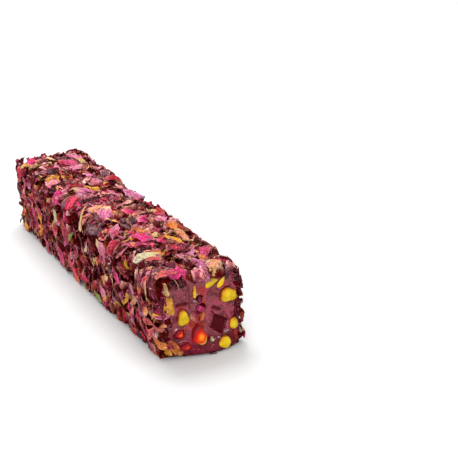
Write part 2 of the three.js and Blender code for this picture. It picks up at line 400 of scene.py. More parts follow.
# Warm light in the jelly where something orange lies just under it: place, half sizes, amount.
glows = [(0.2, 31.0, 2.0, 2.2, 0.75), (-2.6, 14.6, 4.8, 3.0, 0.8), (-9.0, 6.2, 3.6, 2.6, 0.7),
         (-11.7, 12.4, 3.6, 2.6, 0.7), (-9.3, 24.4, 3.4, 1.5, 0.6), (0.8, 24.0, 2.6, 8.0, 0.65),
         (16.6, 5.4, 2.2, 4.4, 0.8), (-6.5, 17.5, 3.0, 3.0, 0.55), (11.2, 31.5, 2.6, 2.2, 0.6),
         (1.5, 36.5, 5.0, 1.5, 0.55), (16.5, 34.0, 2.0, 5.0, 0.5)]
buds = [(-1.0, 27.1, 2.0), (-0.4, 22.4, 2.7)]  # round hollows with a raised rim: place and radius
clefts = {"front_pistachio_3": (-0.8, 0.6)}  # kernels that have come loose on one side


def inHollow(hollow, x, z):
    # How far inside a hollow's straight edges a place is, in mm: the least over its edges, which
    # follow each other clockwise.
    corners = np.array(hollow["corners"], float)
    inside = np.full(np.shape(x), np.inf)
    for (x1, z1), (x2, z2) in zip(corners, np.roll(corners, -1, 0)):
        size = math.hypot(x2 - x1, z2 - z1)
        inside = np.minimum(inside, ((z2 - z1) * (x - x1) - (x2 - x1) * (z - z1)) / size)
    return inside


def capRelief(side, x, z):
    # How far the jelly stands out from a cut end's smooth form, and there how much painted shade darkens
    # it
    # and how warm it is: slow waves, the hollows, a groove round each kernel and a pocket behind it.
    u, v = x * -side, z
    waves = (np.sin(0.42 * u + 0.9 * np.sin(0.21 * v)) * np.cos(0.33 * v + 1.1)
             + 0.5 * np.sin(0.95 * u + 0.6 * v) * np.cos(0.7 * v - 0.4 * u))
    calm, dig, dark = np.ones_like(x), np.zeros_like(x), np.zeros_like(x)
    for kernel in kernels[side]:
        share = kernelShare(kernel, x, z)
        calm = calm * smoothstep(0.9, 1.5, share)
        groove = np.exp(-((share - jelly["grooveAt"]) / jelly["grooveWidth"]) ** 2) * (not kernel.glazed)
        dig = dig + jelly["groove"] * groove
        dig = dig + jelly["pocket"] * (1 - smoothstep(*jelly["pocketEdge"], share))
        dig = dig - jelly["swollen"] * smoothstep(*jelly["swollenEdge"], share) * kernel.glazed
        # Painted shade in the groove round each kernel.
        dark = np.maximum(dark, 0.5 * groove)
        # A loose kernel's cleft is dug deeper and darkened with painted shade.
        if kernel.node in clefts:
            way, form = clefts[kernel.node], jelly["cleft"]
            toward = ((x - kernel.middle[0]) * way[0] + (z - kernel.middle[1]) * way[1]) / 4
            cleft = np.exp(-((share - form["at"]) / form["width"]) ** 2) * smoothstep(0, 0.8, toward)
            dig, dark = dig + form["depth"] * cleft, np.maximum(dark, cleft)
    relief = jelly["waves"] * waves * calm - dig
    jagged = jelly["jagged"] * np.sin(2.3 * u + 1.7 * z) * np.cos(1.9 * z - 0.8 * u)
    for hollow in hollows:
        inside = inHollow(hollow, u, z) + jagged
        relief = relief - hollow["depth"] * smoothstep(-0.15, 0.5, inside)
        # Painted shade in each hollow.
        dark = np.maximum(dark, hollow["dark"] * smoothstep(-0.35, 0.6, inside))
    for middleX, middleZ, radius in buds:
        far, form = np.hypot(u - middleX, z - middleZ), jelly["bud"]
        relief = relief + form["rim"] * np.exp(-((far - radius) / form["rimWidth"]) ** 2)
        relief = relief - form["depth"] * smoothstep(radius, radius - 0.8, far)
        # Painted shade inside each bud.
        dark = np.maximum(dark, smoothstep(radius, radius - 0.5, far))
    # The deepest hollow has one wall in the light, so less painted shade lies on it.
    wall = smoothstep(-0.2, 0.4, inHollow(hollows[0], u, z))
    wall = wall * smoothstep(2.2, 1.0, u - 0.45 * (z - 12.8) - 2.7)
    dark = dark * (1 - 0.8 * wall)
    warm = sum(amount * np.exp(-((u - middleX) / wide) ** 2 - ((v - middleZ) / tall) ** 2)
               for middleX, middleZ, wide, tall, amount in glows)
    return relief, dark, np.minimum(warm, 1)


def jellyCap(side):
    # A cut face as rings: the outline where its edge ends, drawn in towards the middle.
    share = np.linspace(0.02, 0.99, jelly["capRings"])[:, None]
    p = np.arange(jelly["round"])[None] / jelly["round"] * section.round
    outline = onBar(p, np.full_like(p, side * faceStart), np.zeros_like(p))[0][0]
    middle = (bar["height"] + bar["footing"]) / 2
    x = outline[:, 0] * share
    z = middle + (outline[:, 2] - middle) * share
    relief, dark, warm = capRelief(side, x, z)
    y = side * (end + slumpAt(x, z, side) + relief * (1 - share ** 12))
    return np.stack([x, y, z], -1), dark, warm


def makeJelly():
    # The near cut face, the sides with their rounded edges, and the far cut face, ring by ring.
    caps = {side: jellyCap(side) for side in (-1, 1)}
    straight = np.linspace(-1, 1, jelly["sideRings"]) * (end - bar["cutEdge"])
    bend = np.linspace(end - bar["cutEdge"], faceStart, jelly["edgeRings"])[1:]
    y = np.concatenate([-bend[::-1], straight, bend])[:, None]
    p = np.arange(jelly["round"])[None] / jelly["round"] * section.round
    ripple = np.sin(1.3 * p + 2 * np.sin(0.31 * y)) * np.sin(0.83 * y + np.sin(0.5 * p)) - 1
    crinkle = jelly["crinkle"] * ripple * smoothstep(0, 4, end - bar["cutEdge"] - np.abs(y))
    sides = onBar(p + 0 * y, y + 0 * p, crinkle)[0]
    sides[..., 2] = np.maximum(sides[..., 2], bar["footing"] * 0.6)
    rings = np.concatenate([caps[-1][0], sides, caps[1][0][::-1]])
    blank = np.zeros(sides.shape[:2])
    edge = smoothstep(end - 2.5, end, np.abs(y)) + 0 * p
    points, quads = closeRings(rings)
    numbers = {"dark": (caps[-1][1], blank, caps[1][1][::-1]),
               "warm": (caps[-1][2], blank, caps[1][2][::-1]),
               "cut": (np.ones_like(caps[-1][1]), edge, np.ones_like(caps[1][1]))}
    numbers = {key: np.append(np.concatenate(rows).ravel(), [0, 0]) for key, rows in numbers.items()}
    return makeMesh("jelly", points, quads, numbers=numbers)


def jellyFinish():
    # Dark red and clear, with streaks, orange where something glows through it, painted shade in its
    # hollows and grooves, and a gloss that lies over it in patches: the veil of light on a wet cut,
    # missing in its hollows.
    recipe, hue = Recipe("jelly"), palette(jelly["tones"])
    place = recipe.body()
    height = recipe.add("SeparateXYZ", None, {0: place}, output=2) / mm
    cloud = recipe.noise(place, 130, 3.0, 0.55, 0.8)
    patch = recipe.noise(place, 260, 3.0, 0.6, 1.5)
    fine = recipe.noise(place, 1500, 3.0)
    dark, warm, cut = recipe.number("dark"), recipe.number("warm"), recipe.number("cut")
    low = recipe.rise(height, 15.0, 3.0)
    clear = recipe.mix(recipe.rise(cloud, 0.42, 0.54), hue.clear, hue.deep)
    clear = recipe.mix(recipe.rise(patch, 0.48, 0.58) * 0.7, clear, hue.streak)
    clear = recipe.mix(low * 0.65, clear, hue.low)
    glow = recipe.rise(warm + (patch - 0.5) * 1.3 + (fine - 0.5) * 0.9, 0.3, 0.8)
    light = recipe.mix(recipe.rise(fine, 0.4, 0.6), hue.ember, hue.flame)
    clear = recipe.mix(glow * 0.85, clear, light)
    speck = recipe.rise(fine + warm * 0.05, 0.66, 0.72)
    clear = recipe.mix(speck * 0.5, clear, hue.speck)
    # Painted shade over the hollows, grooves, clefts and buds.
    colour = recipe.mix(dark, clear, hue.hollow)
    colour = recipe.mix(cut, hue.side, colour)
    veil = (1 - dark * 0.9) * (1 - 0.5 * recipe.rise(patch, 0.5, 0.6))
    veil = veil * (1 - low * 0.7) * (1 - glow * 0.6) * cut
    return recipe.finish(Base_Color=colour, Roughness=0.5, Specular_IOR_Level=0.0,
                         Coat_Weight=veil, Coat_Roughness=0.07, Coat_IOR=1.6,
                         Normal=recipe.bump(patch, 0.2, 0.4))


dress(makeJelly(), jellyFinish(), "jelly", "petal_coated_bar")
print("jelly made")


kernelForm = {
    "around": 36, "face": 9, "body": 9,
    "dome": 0.45,  # how far a cut face bulges
    "edge": 0.4,  # rounding of its rim
    "stand": 0.35,  # how far it stands out of the node it replaces
    "square": 2.3,  # 2 makes an outline an ellipse, more makes it squarer
    "wobble": 0.035,  # how uneven an outline is
    "bow": 0.0,  # how far it is bent
    "taper": 0.0,  # how much narrower one end of it is
    "wide": (1, 1),  # its size beside that of the node it replaces
    "dim": 0.0,  # how far under the jelly it lies
}
# What differs in kernels that the knife met at an angle, or that lie under the jelly.
kernelShapes = {
    "front_pistachio_1": {"square": 1.9, "bow": -0.36, "taper": 0.55},
    "front_pistachio_2": {"square": 1.9, "bow": 0.3, "taper": 0.5},
    "front_pistachio_3": {"square": 2.6, "taper": 0.15, "wide": (0.98, 1.2)},
    "front_pistachio_4": {"square": 3.0, "taper": 0.25},
    "front_pistachio_5": {"square": 2.7, "taper": -0.3},
    "front_glazed_1": {"square": 2.2, "taper": -0.25, "wobble": 0.09, "wide": (1.1, 1.05)},
    "front_glazed_2": {"dim": 0.25, "wobble": 0.1, "wide": (1.1, 1.2)},
    "front_glazed_3": {"dim": 0.5, "wobble": 0.1, "wide": (1.25, 1.1)},
    "back_pistachio_3": {"bow": 0.2, "taper": 0.3},
    "back_pistachio_5": {"square": 2.8, "taper": -0.2},
}


def makeKernel(kernel):
    # A profile carried round the kernel's outline: out over the cut face, round its rim and back in
    # along an ellipsoid. The outline is a rounded box, bent and narrowed at one end.
    shape = {**kernelForm, **kernelShapes.get(kernel.node, {})}
    size = shape["around"]
    angle = kernel.side * np.arange(size)[None] / size * 2 * math.pi
    seed = float(kernel.middle @ [1.7, 2.3])
    wobble = 1 + shape["wobble"] * (np.sin(3 * angle + seed) + 0.6 * np.sin(5 * angle + 2 * seed))
    power = shape["square"]
    radius = (np.abs(np.cos(angle)) ** power + np.abs(np.sin(angle)) ** power) ** (-1 / power)
    face = np.linspace(0.03, 0.95, shape["face"])
    body = np.linspace(0.04, 0.98, shape["body"]) * math.pi / 2
    share = np.concatenate([face, np.cos(body)])[:, None]
    a = share * radius * wobble * np.cos(angle)
    b = share * radius * wobble * np.sin(angle) * (1 - shape["taper"] * a)
    b = b + shape["bow"] * (a ** 2 - 0.4)
    flat = np.stack([a, b], -1) * kernel.half * shape["wide"] @ kernel.turn.T
    dome = shape["dome"] * (1 + kernel.glazed)
    stand = shape["stand"] + 0.8 * jelly["swollen"] * kernel.glazed
    stand = stand + dome * (1 - face ** 2) - shape["edge"] * face ** 8
    depth = np.concatenate([-stand, kernel.depth * np.sin(body)])[:, None]
    y = kernel.cut - kernel.side * (depth + 0 * angle)
    rings = np.stack([kernel.middle[0] + flat[..., 0], y, kernel.middle[1] + flat[..., 1]], -1)
    points, quads = closeRings(rings)
    out = np.append(np.repeat(share[:, 0], size), [0, 0])
    # lit grows towards the kernel's upper left, where a pistachio is darkened with painted shade.
    lit = np.append((-flat[..., 0] / kernel.half[0] + flat[..., 1] / kernel.half[1]).ravel(), [0, 0])
    numbers = {"out": out, "lit": lit, "dim": 0 * out + shape["dim"]}
    return makeMesh("kernel_" + kernel.node, points, quads, numbers=numbers)


kernelTones = {
    "pistachio": {"yellow": (204, 168, 4), "green": (176, 144, 2), "grain": (214, 190, 44),
                  "brown": (184, 106, 10), "rim": (140, 62, 10)},
    "glazed_pistachio": {"heart": (228, 126, 20), "orange": (212, 60, 8), "red": (166, 20, 8),
                         "rim": (110, 14, 24), "shell": (206, 160, 70)},
}


def pistachioFinish():
    # Yellow-green and dense, paler in patches, with a brown-gold rim where the red jelly tints it, and
    # brown painted shade over its upper left.
    recipe, hue = Recipe("pistachio"), palette(kernelTones["pistachio"])
    place = recipe.body()
    grain = recipe.noise(place, 700, 4.0)
    patch = recipe.noise(place, 240, 2.0)
    out, lit = recipe.number("out"), recipe.number("lit")
    colour = recipe.mix(recipe.rise(patch, 0.4, 0.6), hue.yellow, hue.green)
    colour = recipe.mix(recipe.rise(grain, 0.42, 0.66) * 0.4, colour, hue.grain)
    # Painted shade: brown over the kernel's upper left.
    colour = recipe.mix(recipe.rise(lit + patch * 0.8, 0.8, 1.8) * 0.6, colour, hue.brown)
    colour = recipe.mix(recipe.rise(out + (patch - 0.5) * 0.6, 0.8, 1.05), colour, hue.rim)
    return recipe.finish(Base_Color=colour, Roughness=0.36, Specular_IOR_Level=0.2,
                         Normal=recipe.bump(grain, 0.35, 0.3))


def glazedFinish():
    # A kernel seen through a skin of red jelly: orange in the middle, deep red at its rim, and
    # beside that a pale shell on its lower side.
    recipe, hue = Recipe("glazed_pistachio"), palette(kernelTones["glazed_pistachio"])
    place = recipe.body()
    patch = recipe.noise(place, 300, 3.0)
    out, lit, dim = recipe.number("out"), recipe.number("lit"), recipe.number("dim")
    far = out * 0.9 + dim + (patch - 0.5) * 0.6 + recipe.rise(lit, -0.3, 1.3) * 0.5
    colour = recipe.mix(recipe.rise(far, 0.2, 0.52), hue.heart, hue.orange)
    colour = recipe.mix(recipe.rise(far, 0.52, 0.88), colour, hue.red)
    colour = recipe.mix(recipe.rise(far, 1.0, 1.25), colour, hue.rim)
    colour = recipe.mix(recipe.rise(out - lit * 0.35 - dim * 2, 1.18, 1.32), colour, hue.shell)
    return recipe.finish(Base_Color=colour, Roughness=0.5, Specular_IOR_Level=0.0, Coat_Weight=0.3,
                         Coat_Roughness=0.08, Normal=recipe.bump(patch, 0.3, 0.5))


finishes = {"pistachio": pistachioFinish(), "glazed_pistachio": glazedFinish()}
for row in kernels.values():
    for kernel in row:
        slot = "glazed_pistachio" if kernel.glazed else "pistachio"
        dress(makeKernel(kernel), finishes[slot], slot, kernel.node)
print("kernels made:", sum(len(row) for row in kernels.values()))


# What the coat is laid from: points across and along each sheet, and limits of length and width.
sheets = {
    "leaf": {"grid": (8, 12), "length": (6, 13), "width": (4.5, 9.5)},
    "petal": {"grid": (5, 7), "length": (6, 13), "width": (4.5, 8.5)},
    "flake": {"grid": (4, 6), "length": (3, 7.5), "width": (1.8, 4.4)},
    "crumb": {"grid": (3, 4), "length": (1.2, 3.2), "width": (0.7, 1.6)},
}
coat = {
    "thickness": 0.2,
    "rim": 0.6,  # a sheet's thickness at its rim, as a share
    "tiles": (0.84, 0.94),  # how much of its tile each side of a sheet takes up in the map for baking
    "cell": 0.4,  # size of a cell of the height map that petals are laid on
    "margin": 10.0,  # how far the map reaches in over the cut ends
    "start": -0.3,  # the first petals are pressed this far into the jelly
    "lift": 0.26,  # air under each petal
    "steepest": 0.85,  # the steepest slope that a petal is laid at
    "conform": 0.12,  # how far a petal follows what it lies on
    "stiff": (0.1, 0.75),  # how far petals keep straight over the bar's corners
    "reach": 3.6,  # no petal stands further out from the jelly
    "easy": 2.4,  # and above this it is bent back
    "past": 1.5,  # the middles of petals lie up to this far past a cut end's edge
    "light": (0.69, 1.18),  # how much petals of a kind differ in lightness
    "warmth": 0.42,  # and in how warm their tone is
    "golden": 0.3,  # how golden their roots may be
    "seed": 7,
}
# How much petals differ in shape. Angles are in radians.
variety = {
    "claw": (0.25, 0.7),  # width of the root, as a share
    "shard": 1.6,  # a higher power makes fewer of them pointed shards
    "roll": (0.25, 1.3),
    "bend": 1.4,
    "curlTip": 1.2,
    "ruffle": (0.3, 1.0),
    "twist": 1.6,
    "crease": 0.5,
}
# How the coat is built up: what is laid, how many, how much of its curl it keeps, how much it
# leans, whether it also goes under the bar, and how far syrup and painted shade darken it, most in
# the lowest courses, which lie under the rest.
courses = [
    {"of": "petal", "count": 400, "curl": 0.3, "lean": 0.1, "under": True, "dull": 0.85},
    {"of": "flake", "count": 600, "curl": 0.5, "lean": 0.3, "under": True, "dull": 0.75},
    {"of": "petal", "count": 240, "curl": 0.8, "lean": 0.25, "under": False, "dull": 0.6},
    {"of": "flake", "count": 500, "curl": 0.8, "lean": 0.4, "under": False, "dull": 0.5},
    {"of": "crumb", "count": 800, "curl": 0.8, "lean": 0.5, "under": False, "dull": 0.5},
    {"of": "petal", "count": 240, "curl": 0.9, "lean": 0.3, "under": False, "dull": 0.3},
    {"of": "flake", "count": 300, "curl": 1.0, "lean": 0.45, "under": False, "dull": 0.2},
    {"of": "leaf", "count": 290, "curl": 0.75, "lean": 0.22, "under": False, "dull": 0.12},
    {"of": "crumb", "count": 240, "curl": 1.0, "lean": 0.5, "under": False, "dull": 0.1},
    {"of": "leaf", "count": 290, "curl": 0.75, "lean": 0.24, "under": False, "dull": 0.0},
    {"of": "flake", "count": 170, "curl": 0.9, "lean": 0.35, "under": False, "dull": 0.0},
    {"of": "single"},
    {"of": "crumb", "count": 260, "curl": 1.0, "lean": 0.5, "under": False, "dull": 0.05},
]
# How petals on the sides of the bar differ from those on top.
upright = {
    "steep": (0.5, 0.9),  # where the surface begins and ends to count as a side
    "size": 1.05,
    "roll": 1.6,
    "ruffle": 0.2,  # how much more, as a share
    "lean": 2.3,
    # Syrup and painted shade darken petals on the sides a little more.
    "dull": 0.09,
    "sunk": 1.15,  # how much deeper they seem, so that the painted shade from depth darkens them more
    "sunkFrom": (105, 50),  # but for the far end, between these y
}
# How far in over a cut end petals may reach, by the way round the section: little at the foot,
# most on the side that was rolled last.
overEnd = {
    "way": [0, underside, leftBase, leftAt(12), leftAt(30), topAt(-14), topAt(13), rightAt(30),
            rightAt(8), section.round - underside, section.round],
    "front": [0, -2.5, -1.8, 1.4, 2.0, 2.2, 1.6, 0.9, 0.4, 0, 0],
    "back": [0, 1.5, 3.4, 3.6, 3.6, 3.0, 3.0, 2.4, 1.8, 0.8, 0],
}
# Colour families of the petals, with their share of the coat on top and on its sides. A roll is the
# angle, in radians, that a petal curls through across its width, and a bend the one along its length.
petalKinds = {
    "rose": {"share": (0.26, 0.28), "roll": 1.2, "bend": 1.0, "ragged": 0.2,
        "root": (233, 152, 116), "body": (206, 52, 94),
        "tip": (230, 126, 154), "other": (174, 28, 52)},
    "blush": {"share": (0.32, 0.22), "roll": 1.0, "bend": 1.0, "ragged": 0.22,
        "root": (236, 180, 164), "body": (212, 126, 136),
        "tip": (234, 172, 178), "other": (180, 98, 104)},
    "crimson": {"share": (0.17, 0.25), "roll": 1.4, "bend": 1.1, "ragged": 0.22,
        "root": (196, 76, 52), "body": (158, 24, 34),
        "tip": (190, 62, 80), "other": (114, 10, 16)},
    "plum": {"share": (0.11, 0.16), "roll": 1.7, "bend": 1.3, "ragged": 0.32,
        "root": (104, 34, 34), "body": (92, 26, 36),
        "tip": (132, 76, 88), "other": (60, 8, 14)},
    # Grey petals: their grey is partly a painted sheen, the satin gloss of dark dried petals.
    "ash": {"share": (0.125, 0.035), "roll": 1.4, "bend": 1.2, "ragged": 0.35,
        "root": (98, 58, 62), "body": (128, 94, 100),
        "tip": (156, 122, 126), "other": (92, 62, 66)},
    "gold": {"share": (0.034, 0.034), "roll": 1.3, "bend": 1.1, "ragged": 0.28,
        "root": (236, 200, 96), "body": (226, 156, 62),
        "tip": (216, 104, 84), "other": (206, 110, 50)},
    "cream": {"share": (0.015, 0.015), "roll": 1.0, "bend": 0.8, "ragged": 0.22,
        "root": (206, 194, 116), "body": (226, 204, 158),
        "tip": (220, 160, 136), "other": (170, 160, 90)},
}
scraps = {"gold": 0.12, "cream": 0.04}  # kinds that more of the smallest are, and by how much

random = np.random.default_rng(coat["seed"])


def between(limits, shape):
    return limits[0] + (limits[1] - limits[0]) * random.random(shape)


def around(limit, count):
    # Numbers from -limit to limit, most of them near 0.
    return limit * (random.random(count) + random.random(count) - 1)


def drawForms(sheet, kinds, side):
    # What shapes each petal, drawn at random within its kind's limits. On the sides of the bar,
    # where side is 1, they are more rolled up, twisted and ruffled.
    count = len(kinds)
    rows = [petalKinds[name] for name in kinds]
    roll, bend, ragged = (np.array([row[key] for row in rows]) for key in ("roll", "bend", "ragged"))
    larger, tighter = (1 + side * (upright[key] - 1) for key in ("size", "roll"))
    flat, curved = variety["roll"]
    return {
        "length": between(sheet["length"], count) * larger,
        "width": between(sheet["width"], count) * larger,
        "claw": between(variety["claw"], count),
        "shard": random.random(count) ** variety["shard"],
        "ragged": ragged,
        "roll": roll * tighter * (flat + around(curved, count)),
        "bend": bend * around(variety["bend"], count),
        "curlTip": around(variety["curlTip"], count),
        "ruffle": between(variety["ruffle"], count) * (1 + upright["ruffle"] * side),
        "twist": around(variety["twist"], count) * tighter,
        "crease": around(variety["crease"], count),
    }


def petalForms(forms, across, along):
    # Dried petals, each a grid over s across and t along it. The outline is between a spoon with
    # a narrow root and a pointed shard, torn at random. The sheet is rolled as an arc across and
    # bent as an arc along, curled at its tip, creased, twisted, and ruffled by waves.
    count = len(forms["length"])
    f = SimpleNamespace(**{key: value[:, None, None] for key, value in forms.items()})
    s = np.linspace(-1, 1, across)[None, None, :]
    t = np.linspace(0, 1, along)[None, :, None]
    spoon = (f.claw + (1 - f.claw) * smoothstep(0, 0.6, t)) * np.sqrt(
        1 - 0.75 * np.clip((t - 0.6) / 0.4, 0, 1) ** 2)
    shard = np.sqrt(np.clip(4 * (0.03 + 0.94 * t) * (0.97 - 0.94 * t), 0, 1))
    knots = random.random((count, 6, 2))
    at = np.minimum((t[0] * 5).astype(int), 4)[:, 0]
    part = (t[0, :, 0] * 5 - at)[None, :, None]
    torn = knots[:, at] * (1 - part) + knots[:, at + 1] * part
    torn = 1 - f.ragged * (0.75 * torn * 1.6 + 0.25 * random.random((count, along, 2)))
    half = f.width / 2 * (spoon + (shard - spoon) * f.shard)
    half = half * np.where(s < 0, torn[..., :1], torn[..., 1:])
    notch = random.random((count, 1, across)) * 0.5 + random.random((count, 1, 1)) * (0.5 + 0.5 * s)
    b = f.length * (t - 0.5 - 0.12 * s ** 2 * t ** 2 - 0.5 * f.ragged * notch * t ** 4)
    roll = np.where(np.abs(f.roll) < 0.1, 0.1, f.roll)
    a = half * np.sin(s * roll / 2) / (roll / 2)
    c = half * (1 - np.cos(s * roll / 2)) / (roll / 2)
    c = c + f.crease * half * np.abs(s + 0.4 * (t - 0.5))
    phase = random.random((4, count, 1, 1)) * 2 * math.pi
    wave = s * np.sin(6 * t + phase[0]) + 0.6 * np.cos(3 * s + 4 * t + phase[1])
    rim = np.maximum(np.abs(s), np.abs(2 * t - 1)) ** 2
    wave = wave + rim * (np.sin(11 * t + 3 * s + phase[2]) + 0.8 * np.sin(19 * t - 6 * s + phase[3]))
    c = c + f.ruffle * wave
    c = c + f.curlTip * f.length * 1.2 * np.maximum(t - 0.55, 0) ** 2
    twist = f.twist * (t - 0.5)
    a, c = a * np.cos(twist) - c * np.sin(twist), a * np.sin(twist) + c * np.cos(twist)
    bend = np.where(np.abs(f.bend) < 0.1, 0.1, f.bend)
    lean = b / f.length * bend
    b, c = (f.length * np.sin(lean) / bend - c * np.sin(lean),
            f.length * (1 - np.cos(lean)) / bend + c * np.cos(lean))
    c = c - np.quantile(c, 0.4, axis=(1, 2), keepdims=True)
    return np.stack([a, b, c], -1)


def softLimit(x, start, limit):
    # x as it is below start, and above it bent so that it nears limit but never passes it.
    over = np.maximum(x - start, 0) / (limit - start)
    return np.where(x > start, start + (limit - start) * (1 - np.exp(-over)), x)


class HeightMap:
    # How high petals lie already, over the unrolled sides of the bar.
    def __init__(self):
        self.count = (int(section.round / coat["cell"]),
                      int(2 * (end + coat["margin"]) / coat["cell"]))
        self.heights = np.full(self.count, coat["start"])

    def cells(self, p, y):
        across = (np.mod(p, section.round) / section.round * self.count[0]).astype(int) % self.count[0]
        along = ((y + end + coat["margin"]) / coat["cell"]).astype(int)
        return across, np.clip(along, 0, self.count[1] - 1)

    def read(self, p, y):
        return self.heights[self.cells(p, y)]

    def lay(self, p, y, height):
        np.maximum.at(self.heights, self.cells(p, y), height)


def finer(grid, times=3):
    # The grids of points with more of them between, straight from each to the next.
    for axis in (1, 2):
        size = grid.shape[axis]
        at = np.linspace(0, size - 1, (size - 1) * times + 1)
        low = np.minimum(at.astype(int), size - 2)
        share = (at - low).reshape([-1 if k == axis else 1 for k in range(grid.ndim)])
        grid = np.take(grid, low, axis) * (1 - share) + np.take(grid, low + 1, axis) * share
    return grid


def layOn(heightMap, grid, p, y, turn, curl, lean, kept=False):
    # Lays petals on the map: each on the plane that fits the heights under it best, leaning a
    # little at random, bent towards those heights. Gives places p and y and heights.
    cosine, sine = np.cos(turn)[:, None, None], np.sin(turn)[:, None, None]
    a, b, c = grid[..., 0], grid[..., 1], grid[..., 2] * curl
    dp, dy = a * cosine - b * sine, a * sine + b * cosine
    atP, atY = p[:, None, None] + dp, y[:, None, None] + dy
    side = np.where(y < 0, -1.0, 1.0)
    limit = [faceStart + np.interp(np.mod(p, section.round), overEnd["way"], overEnd[label])
             for label in ("front", "back")]
    limit = np.where(side < 0, limit[0], limit[1])
    past = np.maximum((side[:, None, None] * atY).max((1, 2)) - limit, 0) * (not kept)
    atY = atY - (side * past)[:, None, None]
    ground = heightMap.read(atP, atY)
    count = len(p)
    terms = np.stack([np.ones_like(dp), dp, dy], -1).reshape(count, -1, 3)
    square = np.einsum("nki,nkj->nij", terms, terms) + 1e-6 * np.eye(3)
    moment = np.einsum("nki,nk->ni", terms, ground.reshape(count, -1))
    plane = np.linalg.solve(square, moment[..., None])[..., 0]
    tilt = random.normal(0, 1, (count, 2)) * np.reshape(lean, (-1, 1))
    slope = np.clip(plane[:, 1:] + tilt, -coat["steepest"], coat["steepest"])
    level = plane[:, 0, None, None] + slope[:, 0, None, None] * dp + slope[:, 1, None, None] * dy
    height = level * (1 - coat["conform"]) + ground * coat["conform"] + coat["lift"] + c
    sunk = np.quantile((ground - height).reshape(count, -1), 0.7, axis=1)[:, None, None]
    height = height + np.clip(sunk, 0, 0.4)
    return atP, atY, softLimit(height, coat["easy"], coat["reach"])


def onBarStiffly(p, y, height, stiff):
    # Places on the bar that keep, by a share, to the flat plane at each petal's middle.
    middle = [row.mean((1, 2)) for row in (p, y)]
    wrapped = onBar(p, y, height)[0]
    origin, on, along, out = onBar(*middle, np.zeros_like(middle[0]))
    offsets = [p - middle[0][:, None, None], y - middle[1][:, None, None], height]
    flat = origin[:, None, None] + sum(
        way[:, None, None] * offset[..., None] for way, offset in zip((on, along, out), offsets))
    return wrapped + (flat - wrapped) * stiff


reach = {
    "side": 0.6,  # how far past the coat's own reach petals may stand
    "top": 1.9,
    "left": 0.8,  # further on the left side,
    "foot": 1.9,  # but this much less at its foot by the near end
    "footHeight": (15, 4),
    "footFrom": (-25, -65),
    "uneven": (0.9, 0.8),  # how much less in places, on the sides and on top
    "ends": (3.5, 6.0, 10.5),  # how far past a cut end they bend, and stop at the near and far one
    "floor": 0.12,
    "soft": {"side": 1.2, "top": 1.0, "floor": 1.0},  # they are bent in over this much of the way
}


def keepIn(points):
    # Petals stay above the surface that the bar stands on, and within the bar's reach.
    half = bar["width"] / 2 + coat["reach"] + reach["side"]
    top = bar["height"] + coat["reach"] + reach["top"]
    x, y, z = points[..., 0], points[..., 1], points[..., 2]
    uneven = 0.5 + 0.5 * np.sin(0.41 * y + 0.9 * np.sin(0.23 * z)) * np.cos(0.19 * y - 0.27 * z + 0.6)
    foot = smoothstep(*reach["footHeight"], z) * smoothstep(*reach["footFrom"], y)
    half = half + (reach["left"] - reach["foot"] * foot) * (x < 0) - reach["uneven"][0] * uneven
    top = top - reach["uneven"][1] * uneven
    start, near, far = reach["ends"]
    soft = reach["soft"]
    x = np.sign(x) * softLimit(np.abs(x), half - soft["side"], half)
    z = softLimit(z, top - soft["top"], top)
    z = -softLimit(-z, -soft["floor"], -reach["floor"])
    y = np.sign(y) * softLimit(np.abs(y), end + start, end + far * (y > 0) + near * (y < 0))
    return np.stack([x, y, z], -1)


rimTonesAndHighlights = {  # the colours of petals' rims, with their shares: the pale pink and the cream are painted highlights where a thin rim catches the light, the rest tones that rims dried to
    "palePink": ((230, 154, 166), 0.28),
    "cream": ((236, 200, 160), 0.07),
    "gold": ((226, 170, 74), 0.12),
    "orange": ((216, 104, 56), 0.07),
    "magenta": ((210, 60, 112), 0.19),
    "darkRed": ((80, 12, 22), 0.27),
}
# Tones for petals: a golden tint for roots, a dark red for syrup that also stands as painted shade on
# petals under others, a pale pink painted highlight, and the near-black red of painted shade from depth.
stainsAndPaintedLight = {"golden": (232, 178, 74), "syrup": (90, 2, 4), "bloom": (232, 152, 162), "depth": (74, 0, 0)}


def shadePetals(shades, where, start):
    # Colours from a petal's root, then its body, to its tip, and beside them the colour of its rim.
    paint = shades["root"] + (shades["body"] - shades["root"]) * smoothstep(start, start + 0.35, where)
    paint = paint + (shades["tip"] - paint) * smoothstep(0.62, 1.05, where)
    return np.concatenate([paint, np.broadcast_to(shades["rim"], paint.shape)], -1)


def tones(colours):
    return np.array([tone(*colour)[:3] for colour in colours])[:, None, None]


def paintPetals(kinds, across, along, dull):
    # Each petal a little lighter or darker than its kind, and darker where it has lain in syrup, which
    # also stands as painted shade on petals that lie under others.
    count = len(kinds)
    each = (count, 1, 1, 1)
    shades = {key: tones(petalKinds[name][key] for name in kinds)
              for key in ("root", "body", "tip", "other")}
    shades["body"] = shades["body"] + (shades["other"] - shades["body"]) * random.random(each) ** 1.5
    golden = np.array(tone(*stainsAndPaintedLight["golden"])[:3]) - shades["root"]
    shades["root"] = shades["root"] + golden * coat["golden"] * random.random(each) ** 3
    colours, shares = zip(*rimTonesAndHighlights.values())
    shades["rim"] = tones(colours[k] for k in random.choice(len(colours), count, p=shares))
    s = np.linspace(-1, 1, across)[None, None, :, None]
    t = np.linspace(0, 1, along)[None, :, None, None]
    where = t + 0.1 * s * around(1, each) + around(0.12, (count, along, across, 1))
    paint = shadePetals(shades, where, between((-0.45, 0.3), each))
    light = between(coat["light"], each)
    light = light * (1 + around(coat["warmth"], each) * np.array([0, 0.35, -1] * 2))  # warmer or cooler
    dull = dull[:, None, None, None] * (0.5 + 0.5 * random.random(each))
    syrup = np.tile(tone(*stainsAndPaintedLight["syrup"])[:3], 2)
    return paint * light * (1 - dull) + syrup * dull


steps = (0.7548776662, 0.569840291)  # of a sequence that fills the surface evenly


